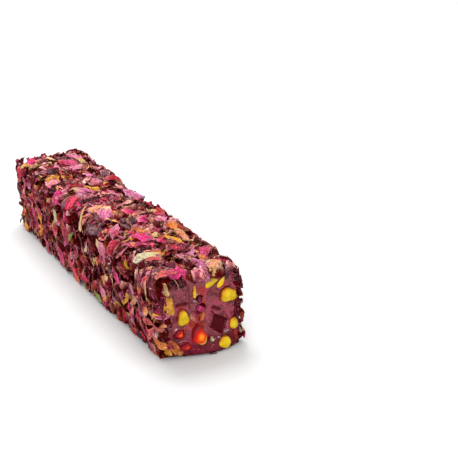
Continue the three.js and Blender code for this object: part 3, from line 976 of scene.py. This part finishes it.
def layCourse(heightMap, course, number):
    # One course of the coat, with its petals at whole multiples of the steps round and along the bar.
    sheet, count = sheets[course["of"]], course["count"]
    across, along = sheet["grid"]
    k = np.arange(count) + 1000 * number + 1
    p = np.mod(k * steps[0], 1) * section.round
    y = (np.mod(k * steps[1], 1) * 2 - 1) * (faceStart + coat["past"])
    under = (p < underside + 2) | (p > section.round - underside - 2)
    if not course["under"]:
        p, y, under = p[~under], y[~under], under[~under]
    side = smoothstep(*upright["steep"], np.abs(np.interp(p, section.p, section.onZ)))
    share = np.array([row["share"] for row in petalKinds.values()])
    share = share[:, 0] + (share[:, 1] - share[:, 0]) * side[:, None]
    more = np.array([scraps.get(name, 0.0) for name in petalKinds])
    share = np.cumsum(share + more * (course["of"] in ("flake", "crumb")), 1)
    kinds = np.array(list(petalKinds))[(random.random((len(p), 1)) * share[:, -1:] > share).sum(1)]
    forms = drawForms(sheet, kinds, side)
    curl = np.where(under, 0.1, course["curl"])[:, None, None]
    lean = course["lean"] * (1 + side * (upright["lean"] - 1))
    turn = random.random(len(p)) * 2 * math.pi
    grid = petalForms(forms, across, along)
    atP, atY, height = layOn(heightMap, grid, p, y, turn, curl, lean)
    heightMap.lay(*np.moveaxis(finer(np.stack([atP, atY, height], -1)), -1, 0))
    stiff = between(coat["stiff"], (len(p), 1, 1, 1))
    points = keepIn(onBarStiffly(atP, atY, height, stiff))
    # On the sides petals are taken as lying deeper, so that painted shade darkens them more.
    sunk = upright["sunk"] * (side * smoothstep(*upright["sunkFrom"], y))
    paint = paintPetals(kinds, across, along, course["dull"] + side * upright["dull"])
    return SimpleNamespace(of=course["of"], points=points, kinds=kinds, paint=paint,
                           height=height - sunk[:, None, None])


def sheetTemplate(across, along):
    # The faces of one thin closed sheet over a grid: both sides, then the rim, which is flat-shaded.
    index = np.arange(across * along).reshape(along, across)
    top = np.stack([index[:-1, :-1], index[:-1, 1:], index[1:, 1:], index[1:, :-1]], -1).reshape(-1, 4)
    under = top[:, ::-1] + index.size
    rim = np.concatenate([index[0, :-1], index[:-1, -1], index[-1, :0:-1], index[:0:-1, 0]])
    after = np.roll(rim, -1)
    wall = np.stack([rim, rim + index.size, after + index.size, after], -1)
    flat = np.arange(len(top) * 2 + len(wall)) >= len(top) * 2
    return np.concatenate([top, under, wall]), flat


def makeSheets(name, points, paint, height):
    # Thin closed sheets from grids of points, joined in one mesh. The map "petal" holds s and t,
    # and the map for baking has a tile for each sheet, the under side a little larger.
    count, along, across = points.shape[:3]
    out = np.cross(np.gradient(points, axis=2), np.gradient(points, axis=1))
    out /= np.linalg.norm(out, axis=-1, keepdims=True) + 1e-9
    rim = np.ones((along, across))
    rim[0] = rim[-1] = rim[:, 0] = rim[:, -1] = coat["rim"]
    thick = (coat["thickness"] / 2 * rim)[None, ..., None]
    both = np.stack([points + out * thick, points - out * thick], 1).reshape(-1, 3)
    faces, flat = sheetTemplate(across, along)
    quads = (faces[None] + np.arange(count)[:, None, None] * (2 * across * along)).reshape(-1, 4)
    s, t = np.meshgrid(np.linspace(0, 1, across), np.linspace(0, 1, along))
    own = np.stack([s, t], -1)
    tiles = math.ceil(math.sqrt(count))
    corner = np.stack([np.arange(count) % tiles, np.arange(count) // tiles], -1)[:, None, None, None]
    size = np.array(coat["tiles"])[None, :, None, None, None]
    atlas = (corner + 0.5 + (own[None, None] - 0.5) * size) / tiles
    shape = (count, 2, along, across)
    # deep, a sheet's height over the jelly, is what the shader turns into painted shade.
    numbers = {"tint": np.broadcast_to(random.random(count)[:, None, None, None], shape).ravel(),
               "deep": np.broadcast_to(height[:, None], shape).ravel()}
    colours = np.broadcast_to(paint[:, None], (*shape, 6)).reshape(-1, 6)
    maps = {"petal": np.broadcast_to(own, (*shape, 2)).reshape(-1, 2), "OFBake": atlas.reshape(-1, 2)}
    return makeMesh(name, both, quads, np.tile(flat, count), maps, numbers,
                    {"paint": colours[:, :3], "rim": colours[:, 3:]})


petalGrain = {  # scales of the patterns on a petal, and how strongly they darken it
    "vein": {"scale": (8, 1.4), "base": 0.67, "depth": 0.52},
    "blotch": {"scale": 330, "base": 1.14, "depth": 0.66},
    # The creases' darkening is painted shade in the folds.
    "crease": {"scale": 1500, "base": 0.52, "depth": 0.7},
    "deepest": (2.25, -0.05),  # between these heights painted shade darkens it to the tone of what lies deepest
    "bump": (0.85, 0.8),  # strength, and height in mm
}


def petalFinish(name):
    # Veins along the petal, dark blotches, fine creases darkened with painted shade and paler on their
    # ridges as a painted highlight, a rim in a tone of its own, pale in some as a painted highlight, and
    # painted shade that darkens what lies deep.
    recipe, hue = Recipe(name), palette(stainsAndPaintedLight)
    veined, blotched, creased = (petalGrain[key] for key in ("vein", "blotch", "crease"))
    place = recipe.body()
    own = recipe.add("UVMap", {"uv_map": "petal"})
    s = recipe.add("SeparateXYZ", None, {0: own}, output=0)
    t = recipe.add("SeparateXYZ", None, {0: own}, output=1)
    tint, deep = recipe.number("tint"), recipe.number("deep")
    across, along = veined["scale"]
    vein = recipe.noise(recipe.vector(s * across, t * along, tint * 60), 1.0, 3.0)
    blotch = recipe.noise(place, blotched["scale"], 4.0, 0.6)
    crease = recipe.noise(place, creased["scale"], 3.0, 0.65, 0.8)
    green = recipe.add("SeparateColor", None, {0: recipe.paint("paint")}, output=1)
    calm = recipe.rise(green, 0.18, 0.5) * 0.8  # pale petals are the smoother ones
    veins, creaseShade = recipe.rise(vein, 0.34, 0.66), recipe.rise(crease, 0.3, 0.7)
    veins = veins + (0.6 - veins) * calm
    # The creases darken the colour as painted shade.
    shade = (veined["base"] + veined["depth"] * veins) * (creased["base"] + creased["depth"] * creaseShade)
    shade = shade * (blotched["base"] - blotched["depth"] * recipe.rise(blotch, 0.5, 0.7))
    colour = recipe.scale(recipe.paint("paint"), shade)
    far = [recipe.maths("ABSOLUTE", way - 0.5) for way in (s, t)]
    far = recipe.maths("MAXIMUM", *far)
    # Painted highlight: paler where the creases rise to ridges.
    ridgeHighlight = recipe.rise(crease + (vein - 0.5) * 0.4, 0.54, 0.72) * (1 - calm)
    colour = recipe.mix(ridgeHighlight * 0.5, colour, hue.bloom)
    # A rim in its own tone: a dried one, or a pale painted highlight where the rim catches the light.
    edge = recipe.rise(far + (blotch - 0.5) * 0.3 + (vein - 0.5) * 0.25, 0.4, 0.51)
    colour = recipe.mix(edge * (0.2 + 0.72 * veins), colour, recipe.paint("rim"))
    # Painted shade: the lower a petal lies over the jelly, the nearer it turns to near-black red.
    colour = recipe.mix(recipe.rise(deep, *petalGrain["deepest"]) * 0.97, colour, hue.depth)
    normal = recipe.bump(vein * 0.6 + crease * 0.8, *petalGrain["bump"])
    return recipe.finish(Base_Color=colour, Roughness=0.45, Specular_IOR_Level=0.02, Normal=normal)


# The colours of single petals at root, body, tip and rim.
singleTones = {
    "cream": ((198, 186, 112), (204, 190, 150), (216, 202, 182), (214, 200, 176)),
    "straw": ((220, 184, 112), (226, 190, 122), (228, 184, 130), (238, 202, 148)),
    "gold": ((220, 156, 56), (232, 168, 56), (232, 176, 76), (222, 104, 66)),
    "amber": ((210, 160, 30), (200, 146, 26), (180, 110, 20), (150, 80, 20)),
    "orange": ((188, 84, 60), (226, 130, 58), (228, 158, 92), (216, 124, 84)),
    "peach": ((228, 158, 104), (228, 150, 114), (228, 160, 120), (238, 182, 150)),
    "salmon": ((206, 84, 84), (222, 92, 92), (228, 132, 112), (238, 152, 136)),
    "scarlet": ((190, 40, 70), (206, 58, 86), (200, 60, 84), (150, 16, 40)),
    "magenta": ((214, 72, 126), (218, 50, 118), (220, 68, 128), (228, 112, 144)),
    "rose": ((186, 48, 92), (204, 66, 108), (220, 118, 132), (224, 134, 144)),
    "dawn": ((230, 200, 136), (216, 116, 156), (212, 94, 142), (228, 148, 166)),
    "blush": ((206, 90, 130), (222, 120, 156), (236, 170, 168), (240, 190, 184)),
    "lilac": ((192, 92, 130), (200, 108, 150), (204, 132, 156), (224, 166, 186)),
    "crimson": ((160, 26, 50), (178, 42, 68), (200, 66, 94), (200, 90, 110)),
    "plum": ((140, 56, 74), (154, 60, 76), (140, 66, 84), (194, 120, 136)),
    "maroon": ((84, 18, 30), (104, 26, 44), (150, 54, 88), (200, 104, 132)),
    "ember": ((90, 24, 30), (66, 16, 22), (100, 40, 40), (226, 146, 90)),
    # These near-black sheets are painted shade, laid in the gaps and hollows where shade falls.
    "dark": ((44, 9, 13), (54, 12, 18), (68, 20, 28), (110, 54, 60)),
    # Grey, partly a painted sheen.
    "ash": ((102, 70, 74), (114, 84, 88), (132, 102, 106), (76, 46, 50)),
    "sage": ((196, 204, 150), (204, 206, 160), (170, 170, 110), (220, 210, 170)),
    "leaf": ((132, 146, 68), (152, 160, 80), (132, 146, 66), (180, 182, 104)),
    # Pale specks that are painted glints on the wet jelly.
    "mist": ((208, 164, 172), (218, 182, 188), (206, 154, 164), (226, 204, 206)),
}
# Single petals that stand out: what they lie on, from root to tip there, width, roll, bend,
# ruffle and lift, then the name of their colours. Places on top are x and y, on the left side y and
# z, and on the near cut face x and z.
features = {
    "creamLeaf": ("top", (-7.5, -73.5), (-21, -71), 10, 0.5, 0.3, 0.2, 1.0, "cream"),
    "magentaLeaf": ("top", (-9, -46.5), (-3, -57), 7, 0.8, 0.4, 0.3, 0.65, "magenta"),
    "orangeLeaf": ("top", (2.5, -54.5), (10, -66.5), 6, 1.8, 0.4, 0.3, 0.6, "gold"),
    "salmonLeaf": ("top", (11.5, -49.5), (14, -64.5), 7, 1.0, 0.6, 0.4, 0.6, "peach"),
    "mauveCup": ("top", (-2.5, -69), (9, -68.5), 9, 2.5, 0.5, 0.3, 0.65, "plum"),
    "cupHeart": ("top", (-0.5, -68.5), (6, -70), 5, 1.6, 0.3, 0.4, 0.5, "crimson"),
    "pinkMauveLeaf": ("top", (-1.5, -76.5), (9.5, -77.5), 5, 1.2, 0.5, 0.3, 0.65, "lilac"),
    "pinkGoldLeaf": ("top", (7, -83), (17, -76), 7, 1.4, 0.5, 0.5, 0.65, "rose"),
    "salmonRed": ("top", (-15, -75.5), (-9, -80), 7, 1.0, 0.6, 0.5, 0.7, "salmon"),
    "goldSliver": ("top", (-11, -69.5), (-4, -72.5), 6, 1.0, 0.4, 0.4, 0.5, "orange"),
    "hotPink": ("top", (-15.5, -95.5), (-4, -95.5), 9, 1.2, 0.4, 0.9, 0.8, "magenta"),
    "deepRed": ("top", (-14.5, -79.5), (-6, -87), 6, 1.2, 0.4, 0.6, 0.5, "maroon"),
    "lilacLeaf": ("top", (2, -86.5), (6, -97), 8, 1.6, 0.6, 0.5, 0.6, "lilac"),
    "peachLeaf": ("top", (5.5, -95.5), (14, -94), 9, 0.7, 0.5, 0.4, 0.7, "peach"),
    "crimsonRim": ("top", (10, -91.5), (18, -92), 7, 1.8, 0.5, 0.4, 0.6, "crimson"),
    "darkHollow": ("top", (-19, -64.5), (-6.5, -62.5), 9, -1.6, 0.3, 0.2, 0.15, "dark"),
    "goldTop": ("top", (-6, -37.5), (-1, -45), 5, 1.2, 0.4, 0.5, 0.6, "orange"),
    "peachTop": ("top", (-1.5, -50.5), (3.5, -49.5), 5, 0.8, 0.4, 0.5, 0.6, "straw"),
    "goldUpright": ("left", (-47.5, 43), (-50.5, 37), 3, 1.2, 0.5, 0.5, 1.1, "gold"),
    "pinkUpright": ("left", (-61.5, 45.5), (-51.5, 36), 5, 1.6, 0.6, 0.5, 1, "rose"),
    "blushTip": ("top", (-25, -44), (-21, -28.5), 6, 1.0, 0.5, 0.4, 0.8, "blush"),
    "blushTip2": ("top", (-17, -38.5), (-9.5, -28), 5, 1.0, 0.4, 0.3, 0.7, "blush"),
    "orangeTop": ("top", (9, -42), (16, -43), 7, 1.0, 0.4, 0.4, 0.6, "orange"),
    "pinkCup": ("top", (19, -60), (22, -46.5), 8, 2.2, 0.4, 0.4, 0.6, "rose"),
    "magentaCurl": ("left", (-48, 27), (-58.5, 22.5), 7, 2.2, 0.5, 0.3, 1.2, "magenta"),
    "goldBud": ("left", (-63.5, 35), (-67, 33), 3, 1.4, 1.4, 0.1, 1.2, "amber"),
    "redShard": ("left", (-31, 27.5), (-37.5, 25), 4, 0.8, 0.4, 0.3, 1, "rose"),
    "maroonStrip": ("left", (-80.5, 40), (-83.5, 29), 4.5, 1.6, 0.6, 0.5, 0.9, "maroon"),
    "maroonStrip2": ("left", (-87, 38), (-98, 30.5), 4.5, 1.4, 0.5, 0.5, 0.9, "maroon"),
    "salmonArc": ("left", (-97, 43), (-93, 35), 6, 1.4, 1.0, 0.3, 1.3, "salmon"),
    "blushHang": ("left", (-29.5, 11), (-37, 6.5), 6, 1.2, 0.5, 0.4, 1.1, "blush"),
    "sepal": ("left", (-22, 5.5), (-32.5, 2.5), 3.5, 1.4, 0.3, 0.3, 1.1, "leaf"),
    "creamBit": ("left", (-38, 20), (-40, 17), 3, 1.2, 0.6, 0.6, 1, "straw"),
    "goldRimmed": ("left", (-49, 17), (-56.5, 11.5), 5, 2.0, 0.5, 0.4, 1.1, "ember"),
    "goldCurl": ("left", (-59.5, 13), (-69, 23), 5, 2.2, 0.6, 0.6, 1.2, "gold"),
    "pinkFold": ("left", (-66, 17.5), (-67.5, 11.5), 4, 1.8, 0.5, 0.4, 1.2, "magenta"),
    "creamGold": ("left", (-69.5, 17), (-79.5, 25), 4, 1.0, 0.5, 0.4, 0.9, "peach"),
    "salmonArch": ("left", (-99.5, 16.5), (-81, 16), 5, 1.6, 1.5, 0.3, 1.3, "salmon"),
    "darkPocket": ("left", (-79.5, 14), (-83.5, 8.5), 7, 2.2, 0.5, 0.2, 0.9, "ember"),
    "salmonFoot": ("left", (-95.5, 16), (-85, 6), 5, 1.2, 0.6, 0.5, 1.3, "salmon"),
    "darkLump": ("left", (-71.5, 3.5), (-79.5, 5.5), 5, 2.4, 1.2, 0.5, 0.8, "dark"),
    "maroonFoot": ("left", (-85.5, 6), (-88, 1.5), 6, 1.8, 0.6, 0.3, 1.2, "maroon"),
    "orangeFoot": ("left", (-92.5, 11), (-101, 7), 6, 1.4, 0.4, 0.3, 1.2, "orange"),
    "magentaFoot": ("cut", (-18.5, 9.2), (-14.7, 5.7), 3.4, 1.2, 0.4, 0.4, 1.3, "crimson"),
    "goldFoot": ("cut", (-19, 7), (-16, 2.5), 4, 1.4, 0.4, 0.4, 0.6, "gold"),
    "goldStrip": ("cut", (-16.6, 32), (-17.6, 22), 7, 0.5, 0.3, 0.35, 2.2, "gold"),
    "paleStrip": ("cut", (-18.5, 39), (-17, 32), 3, 0.6, 0.4, 0.5, 1.8, "straw"),
    "plumEdge": ("cut", (-19.6, 33), (-20, 21), 4.5, 1.2, 0.4, 0.5, 2.2, "maroon"),
    "darkUnder": ("cut", (-17.5, 22.5), (-15.5, 15.5), 3.5, 1.8, 0.3, 0.3, 0.5, "ember"),
    "purpleGold": ("cut", (-17, 10.5), (-11, 0.7), 5, 1.0, 0.3, 0.3, 0.9, "orange"),
    "budCup": ("cut", (-0.9, 28.6), (-1.0, 25.6), 2.6, 2.4, 1.8, 0.1, 0.1, "maroon"),
    "magentaBit": ("cut", (-2.5, 22.5), (1.5, 22), 4, 1.2, 0.6, 0.6, 0.7, "magenta"),
    "creamCrumb": ("cut", (-6, 20.5), (-4, 17), 2.2, 1.0, 0.5, 0.5, 0.6, "peach"),
    "thinOrange": ("cut", (1.5, 21), (-1.5, 16), 1.8, 1.0, 0.3, 0.4, 0.6, "orange"),
    "triangle": ("cut", (3, 8.5), (3.5, 6), 2.6, 0.4, 0.2, 0.1, 0.5, "cream"),
    "glossRed": ("cut", (18, 22), (17, 11.5), 2.6, 1.6, 0.4, 0.2, 0.7, "maroon"),
    "filmBrown": ("cut", (12.4, 34.4), (14.6, 39.5), 3, 0.9, 0.5, 0.4, 0.6, "ash"),
    "salmonFilm": ("cut", (13.4, 39), (16.6, 32), 5, 0.9, 0.5, 0.4, 0.6, "plum"),
    "darkCorner": ("cut", (17.2, 39), (18.2, 28), 4.5, 1.6, 0.4, 0.5, 0.9, "dark"),
    "darkShade": ("cut", (-15.5, 38), (-6, 34.6), 5, 0.9, 0.3, 0.5, 0.3, "dark"),
    # Painted glints: pale specks where the wet cut face shows small highlights.
    "paleSpeck": ("cut", (-4.2, 26.6), (-2.4, 26.1), 1.0, 0.6, 0.3, 0.4, 0.5, "mist"),
    "glassSpeck": ("cut", (9.9, 9.0), (12.2, 9.5), 0.5, 0.6, 0.3, 0.4, 0.4, "mist"),
    "glassSpeck2": ("cut", (5.9, 7.8), (7.6, 7.2), 0.5, 0.6, 0.3, 0.4, 0.4, "mist"),
    "sideSpeck": ("cut", (18.6, 8.2), (18.9, 5.6), 1.2, 0.6, 0.3, 0.5, 0.6, "mist"),
    "farPeak": ("top", (12.5, 94), (13, 104), 12, 0.6, 1.1, 0.4, 2.0, "salmon"),
    "farRose": ("top", (-4.5, 95), (-2.5, 104.5), 7, 0.9, 1.1, 0.3, 2.0, "rose"),
    "farTip": ("top", (-14, 94), (-19.5, 104), 6, 0.8, 1.0, 0.3, 1.8, "plum"),
    "farGrey": ("top", (-1.3, 88.6), (4.6, 82.5), 7, 1.0, 0.5, 0.5, 0.5, "ash"),
    "pinkFan": ("top", (11.5, 78), (7, 93), 10, 0.7, 0.4, 0.4, 0.8, "blush"),
    "pinkBar": ("top", (-2.8, 66), (8.5, 68), 8, 0.8, 0.4, 0.4, 0.8, "blush"),
    "greyPatch": ("top", (-8.5, 70), (-18.5, 69), 11, 1.0, 0.5, 0.9, 0.5, "ash"),
    "goldBit": ("top", (-18, 54.5), (-8.5, 57), 8, 1.2, 0.5, 0.6, 0.7, "gold"),
    "darkSlit": ("top", (-20.5, 43.5), (-8, 47), 8, 0.6, 0.3, 0.2, 0.35, "dark"),
    "pinkDeep": ("top", (-21, 30.5), (-13.5, 36), 8, 0.9, 0.4, 0.5, 0.6, "magenta"),
    "pinkCream": ("top", (-11, 33.5), (-2, 22.5), 9, 0.7, 0.4, 0.4, 0.9, "dawn"),
    "redPetal": ("top", (-20.5, 13.5), (-10.5, 19), 9.5, 0.5, 0.4, 0.15, 1.0, "scarlet"),
    "darkGap": ("top", (-15, 10.5), (0, 13), 6.5, 0.5, 0.3, 0.25, 0.35, "dark"),
    "greenPale": ("left", (29, 25), (35, 31.5), 6, 0.4, 0.4, 0.15, 2.0, "sage"),
    "pinkWide": ("top", (-6, -4), (-14, -19), 10, 0.5, 0.3, 0.4, 0.8, "dawn"),
    "peachWide": ("top", (-8, -0.5), (-17, -7.5), 8, 0.7, 0.4, 0.4, 0.6, "peach"),
    "ashCluster": ("top", (-19.5, -15), (-15, -29), 9, 0.9, 0.5, 0.9, 0.5, "ash"),
    "creamPink": ("top", (-19.5, -28.5), (-23.5, -41), 8, 0.6, 0.4, 0.4, 0.9, "dawn"),
    "ashTop": ("top", (-7, -24), (0, -30), 9, 0.9, 0.5, 0.8, 0.6, "ash"),
    "ashPink": ("top", (12.5, 15.5), (13.5, -2), 9, 0.7, 0.4, 0.5, 0.7, "lilac"),
    "palePink": ("top", (4, 19), (8, 9), 5, 0.9, 0.5, 0.4, 0.8, "blush"),
    "yellowFar": ("top", (9.5, 80), (13, 71), 5, 0.9, 0.5, 0.5, 0.7, "straw"),
    "goldCurve": ("top", (-3.5, 33), (3, 25), 5, 1.2, 0.8, 0.5, 0.7, "gold"),
    "mauveFar": ("top", (0, 81), (7, 69), 8, 0.9, 0.5, 0.4, 0.5, "rose"),
    "leftTip": ("left", (93, 37), (111, 33), 7, 0.8, 0.7, 0.3, 2.4, "rose"),
    "dustyTip": ("left", (96, 26), (111, 18), 6, 0.9, 0.7, 0.3, 2.6, "plum"),
    "darkTip": ("left", (96, 13), (109, 5), 5, 0.9, 0.8, 0.3, 2.6, "maroon"),
    "pinkLong": ("left", (84, 28), (85, 17.5), 5, 0.9, 0.4, 0.3, 1.2, "magenta"),
    "darkGreen": ("left", (100, 24.5), (90, 21), 6, 1.0, 0.5, 0.3, 0.8, "dark"),
    "crimsonBig": ("left", (21, 29), (14.5, 16), 11, 0.7, 0.5, 0.3, 1.2, "crimson"),
    "sepalLeft": ("left", (6.5, 26.5), (14, 19.5), 4, 0.6, 0.4, 0.2, 1.3, "leaf"),
    "creamThread": ("left", (2, 40), (-12.5, 31), 1.2, 0.6, 0.6, 0.3, 1.6, "straw"),
    "magentaLeft": ("left", (74, 21), (67, 14), 6.5, 0.9, 0.5, 0.3, 1.1, "magenta"),
    "pinkFoot": ("left", (56, 8), (45, 1.5), 6, 0.8, 0.4, 0.3, 1.1, "rose"),
    "pinkFoot2": ("left", (31, 10), (22, 2), 8, 0.8, 0.4, 0.3, 1.2, "rose"),
    "orangeHang": ("left", (15, 11.5), (4, 1), 6, 1.0, 0.5, 0.4, 1.2, "salmon"),
    "goldLeft": ("left", (64, 21.5), (57, 13), 7, 1.2, 0.5, 0.5, 1.1, "gold"),
    "hangStrip": ("cut", (6.5, 42), (5.5, 36.5), 1.6, 0.6, 0.3, 0.3, 1.6, "straw"),
}
single = {  # how single petals differ from the rest
    "grid": (9, 14),
    "roll": 0.8,
    "ruffle": 1.4,
    "claw": 0.5,
    "shard": (0.0, 0.25),
    "ragged": (0.2, 0.42),
    "curlTip": 0.8,
    "twist": 0.8,
    "crease": 0.2,
    "raised": 0.32,  # how steeply those on top face the near end
    "light": (0.65, 0.84),
    "mottle": 0.1,  # how unevenly the root's colour passes into the tip's
    "stiff": (0.4, 0.85),  # the second past the far end, and near the top's edges,
    "edge": 15.0,  # which begin this far from its middle
    "height": 2.0,  # over the jelly, as the shader takes it for its painted shade, so that little darkens them
    "foot": 0.4,  # how far above the floor those on the cut face begin
}


def onCut(x, z, height):
    # The place at x and z on the near cut face, height out from it, over the kernels there.
    over = np.zeros_like(x)
    for kernel in kernels[-1]:
        over = np.maximum(over, 0.8 * smoothstep(1.25, 0.95, kernelShare(kernel, x, z)))
    return np.stack([x, -(end + slumpAt(x, z, -1) + over + height), z], -1)


def layFeatures(heightMap, rows):
    # Single petals, each from its root to its tip, longer than that by what its bend takes up.
    surface, roots, tips, *numbers = [np.array(column) for column in zip(*(row[:8] for row in rows))]
    width, roll, bend, ruffle, lift = (column.astype(float) for column in numbers)
    unrolled = {"top": lambda a, b: (topAt(a), b), "left": lambda a, b: (leftAt(b), a),
                "cut": lambda a, b: (a, b)}
    start, stop = (np.array([unrolled[on](*place) for on, place in zip(surface, places)])
                   for places in (roots, tips))
    middle, way = (start + stop) / 2, stop - start
    count, (wide, along) = len(rows), single["grid"]
    forms = {
        "length": np.hypot(*way.T) * bend / 2 / np.sin(bend / 2),
        "width": width,
        "roll": roll * single["roll"],
        "bend": bend,
        "ruffle": ruffle * single["ruffle"],
        "claw": np.full(count, single["claw"]),
        "shard": between(single["shard"], count),
        "ragged": between(single["ragged"], count),
        "curlTip": around(single["curlTip"], count),
        "twist": around(single["twist"], count),
        "crease": around(single["crease"], count),
    }
    grid = petalForms(forms, wide, along)
    turn = np.arctan2(-way[:, 0], way[:, 1])
    grid[..., 2] += lift[:, None, None]
    onFace = surface == "cut"
    points = np.empty_like(grid)
    across = np.sin(turn)[:, None, None] * grid[..., 0] + np.cos(turn)[:, None, None] * grid[..., 1]
    grid[..., 2] += single["raised"] * across * (surface == "top")[:, None, None]
    atP, atY, height = layOn(heightMap, grid[~onFace], *middle[~onFace].T, turn[~onFace], 1.0, 0.0,
                             kept=True)
    outer = np.maximum(*(np.abs(row[~onFace, 0] - topAt(0)) for row in (start, stop)))
    outer = (outer > single["edge"]) & (surface[~onFace] == "top")
    soft, stiff = single["stiff"]
    stiff = np.where((stop[~onFace, 1] > end) | outer, stiff, soft)[:, None, None, None]
    points[~onFace] = keepIn(onBarStiffly(atP, atY, height, stiff))
    cosine, sine = np.cos(turn[onFace])[:, None, None], np.sin(turn[onFace])[:, None, None]
    a, b, c = np.moveaxis(grid[onFace], -1, 0)
    x, z = (centre[:, None, None] for centre in middle[onFace].T)
    x, z = x + a * cosine - b * sine, z + a * sine + b * cosine
    points[onFace] = onCut(x, np.maximum(z, single["foot"]), c)
    shades = {key: tones(singleTones[row[8]][at] for row in rows)
              for at, key in enumerate(("root", "body", "tip", "rim"))}
    where = around(single["mottle"], (count, along, wide, 1))
    where = np.linspace(0, 1, along)[None, :, None, None] + where
    heightMap.lay(*np.moveaxis(finer(np.stack([atP, atY, height], -1)), -1, 0))
    paint = shadePetals(shades, where, 0.05) * between(single["light"], (count, 1, 1, 1))
    return SimpleNamespace(of="single", points=points, paint=paint, kinds=np.full(count, "single"),
                           height=np.full(points.shape[:3], single["height"]))


heightMap = HeightMap()
laid = [layFeatures(heightMap, list(features.values())) if course["of"] == "single"
        else layCourse(heightMap, course, number) for number, course in enumerate(courses)]
print("petals laid:", sum(len(course.points) for course in laid))


def gather(of, kind=None):
    # The courses of one size, and of one kind if it is named, as one.
    chosen = [course for course in laid if course.of == of]
    rows = []
    for key in ("points", "paint", "height"):
        rows.append(np.concatenate([getattr(course, key)[(course.kinds == kind) | (kind is None)]
                                    for course in chosen]))
    return rows


for name, kind in petalKinds.items():
    piece = makeSheets("petals_" + name, *gather("leaf", name))
    dress(piece, petalFinish("petal_" + name), "petal_coat", "petal_coated_bar")
    print(piece.name, len(piece.data.polygons), "faces")
smaller = {"single": "single_petals", "petal": "low_petals", "flake": "flakes", "crumb": "crumbs"}
for of, name in smaller.items():
    piece = makeSheets(name, *gather(of))
    dress(piece, petalFinish("petal_" + of), "petal_coat", "petal_coated_bar")
    print(piece.name, len(piece.data.polygons), "faces")


stage = {
    "size": 6000.0,
    # The floor's tones near the bar and far from it, and how far in metres, and its roughness: the
    # darker near tone is painted shade round the bar, the lighter far one painted light where the lamps
    # fall off.
    "floor": {"near": (193, 193, 193), "far": (208, 208, 208), "between": (0.2, 0.6), "rough": 0.6},
    "world": 1.3,
    "lights": {
        "overhead": {"place": (60, 320, 700), "size": 400, "power": 5.0},
        "front": {"place": (-360, -620, 450), "size": 300, "power": 2.4},
    },
}


def makeStage():
    corner = np.array([[-1, -1, 0], [1, -1, 0], [1, 1, 0], [-1, 1, 0]]) * stage["size"] / 2
    floor = makeMesh("floor", corner, np.array([[0, 1, 2, 3]]))
    recipe, look = Recipe("floor"), stage["floor"]
    far = recipe.add("VectorMath", {"operation": "LENGTH"}, {0: recipe.body()}, output=1)
    # Painted shade near the bar, painted light far off.
    colour = recipe.mix(recipe.rise(far, *look["between"]), tone(*look["near"]), tone(*look["far"]))
    floor.data.materials.append(recipe.finish(Base_Color=colour, Roughness=look["rough"]))
    world = bpy.data.worlds.new("studio")
    world.use_nodes = True
    world.node_tree.nodes["Background"].inputs["Color"].default_value = (1, 1, 1, 1)
    world.node_tree.nodes["Background"].inputs["Strength"].default_value = stage["world"]
    bpy.context.scene.world = world


def makeLights():
    # Square lamps that face the bar.
    for name, light in stage["lights"].items():
        lamp = bpy.data.lights.new(name, "AREA")
        lamp.shape = "SQUARE"
        lamp.size = light["size"] * mm
        lamp.energy = light["power"]
        place = np.array(light["place"], float)
        back = place / np.linalg.norm(place)
        side = np.cross([0, 0, 1], back)
        side /= np.linalg.norm(side)
        item = bpy.data.objects.new(name, lamp)
        bpy.context.scene.collection.objects.link(item)
        matrix = Matrix(np.column_stack([side, np.cross(back, side), back]).tolist()).to_4x4()
        matrix.translation = [mm * x for x in place]
        item.matrix_world = matrix


makeStage()
makeLights()
print("stage and lights placed")
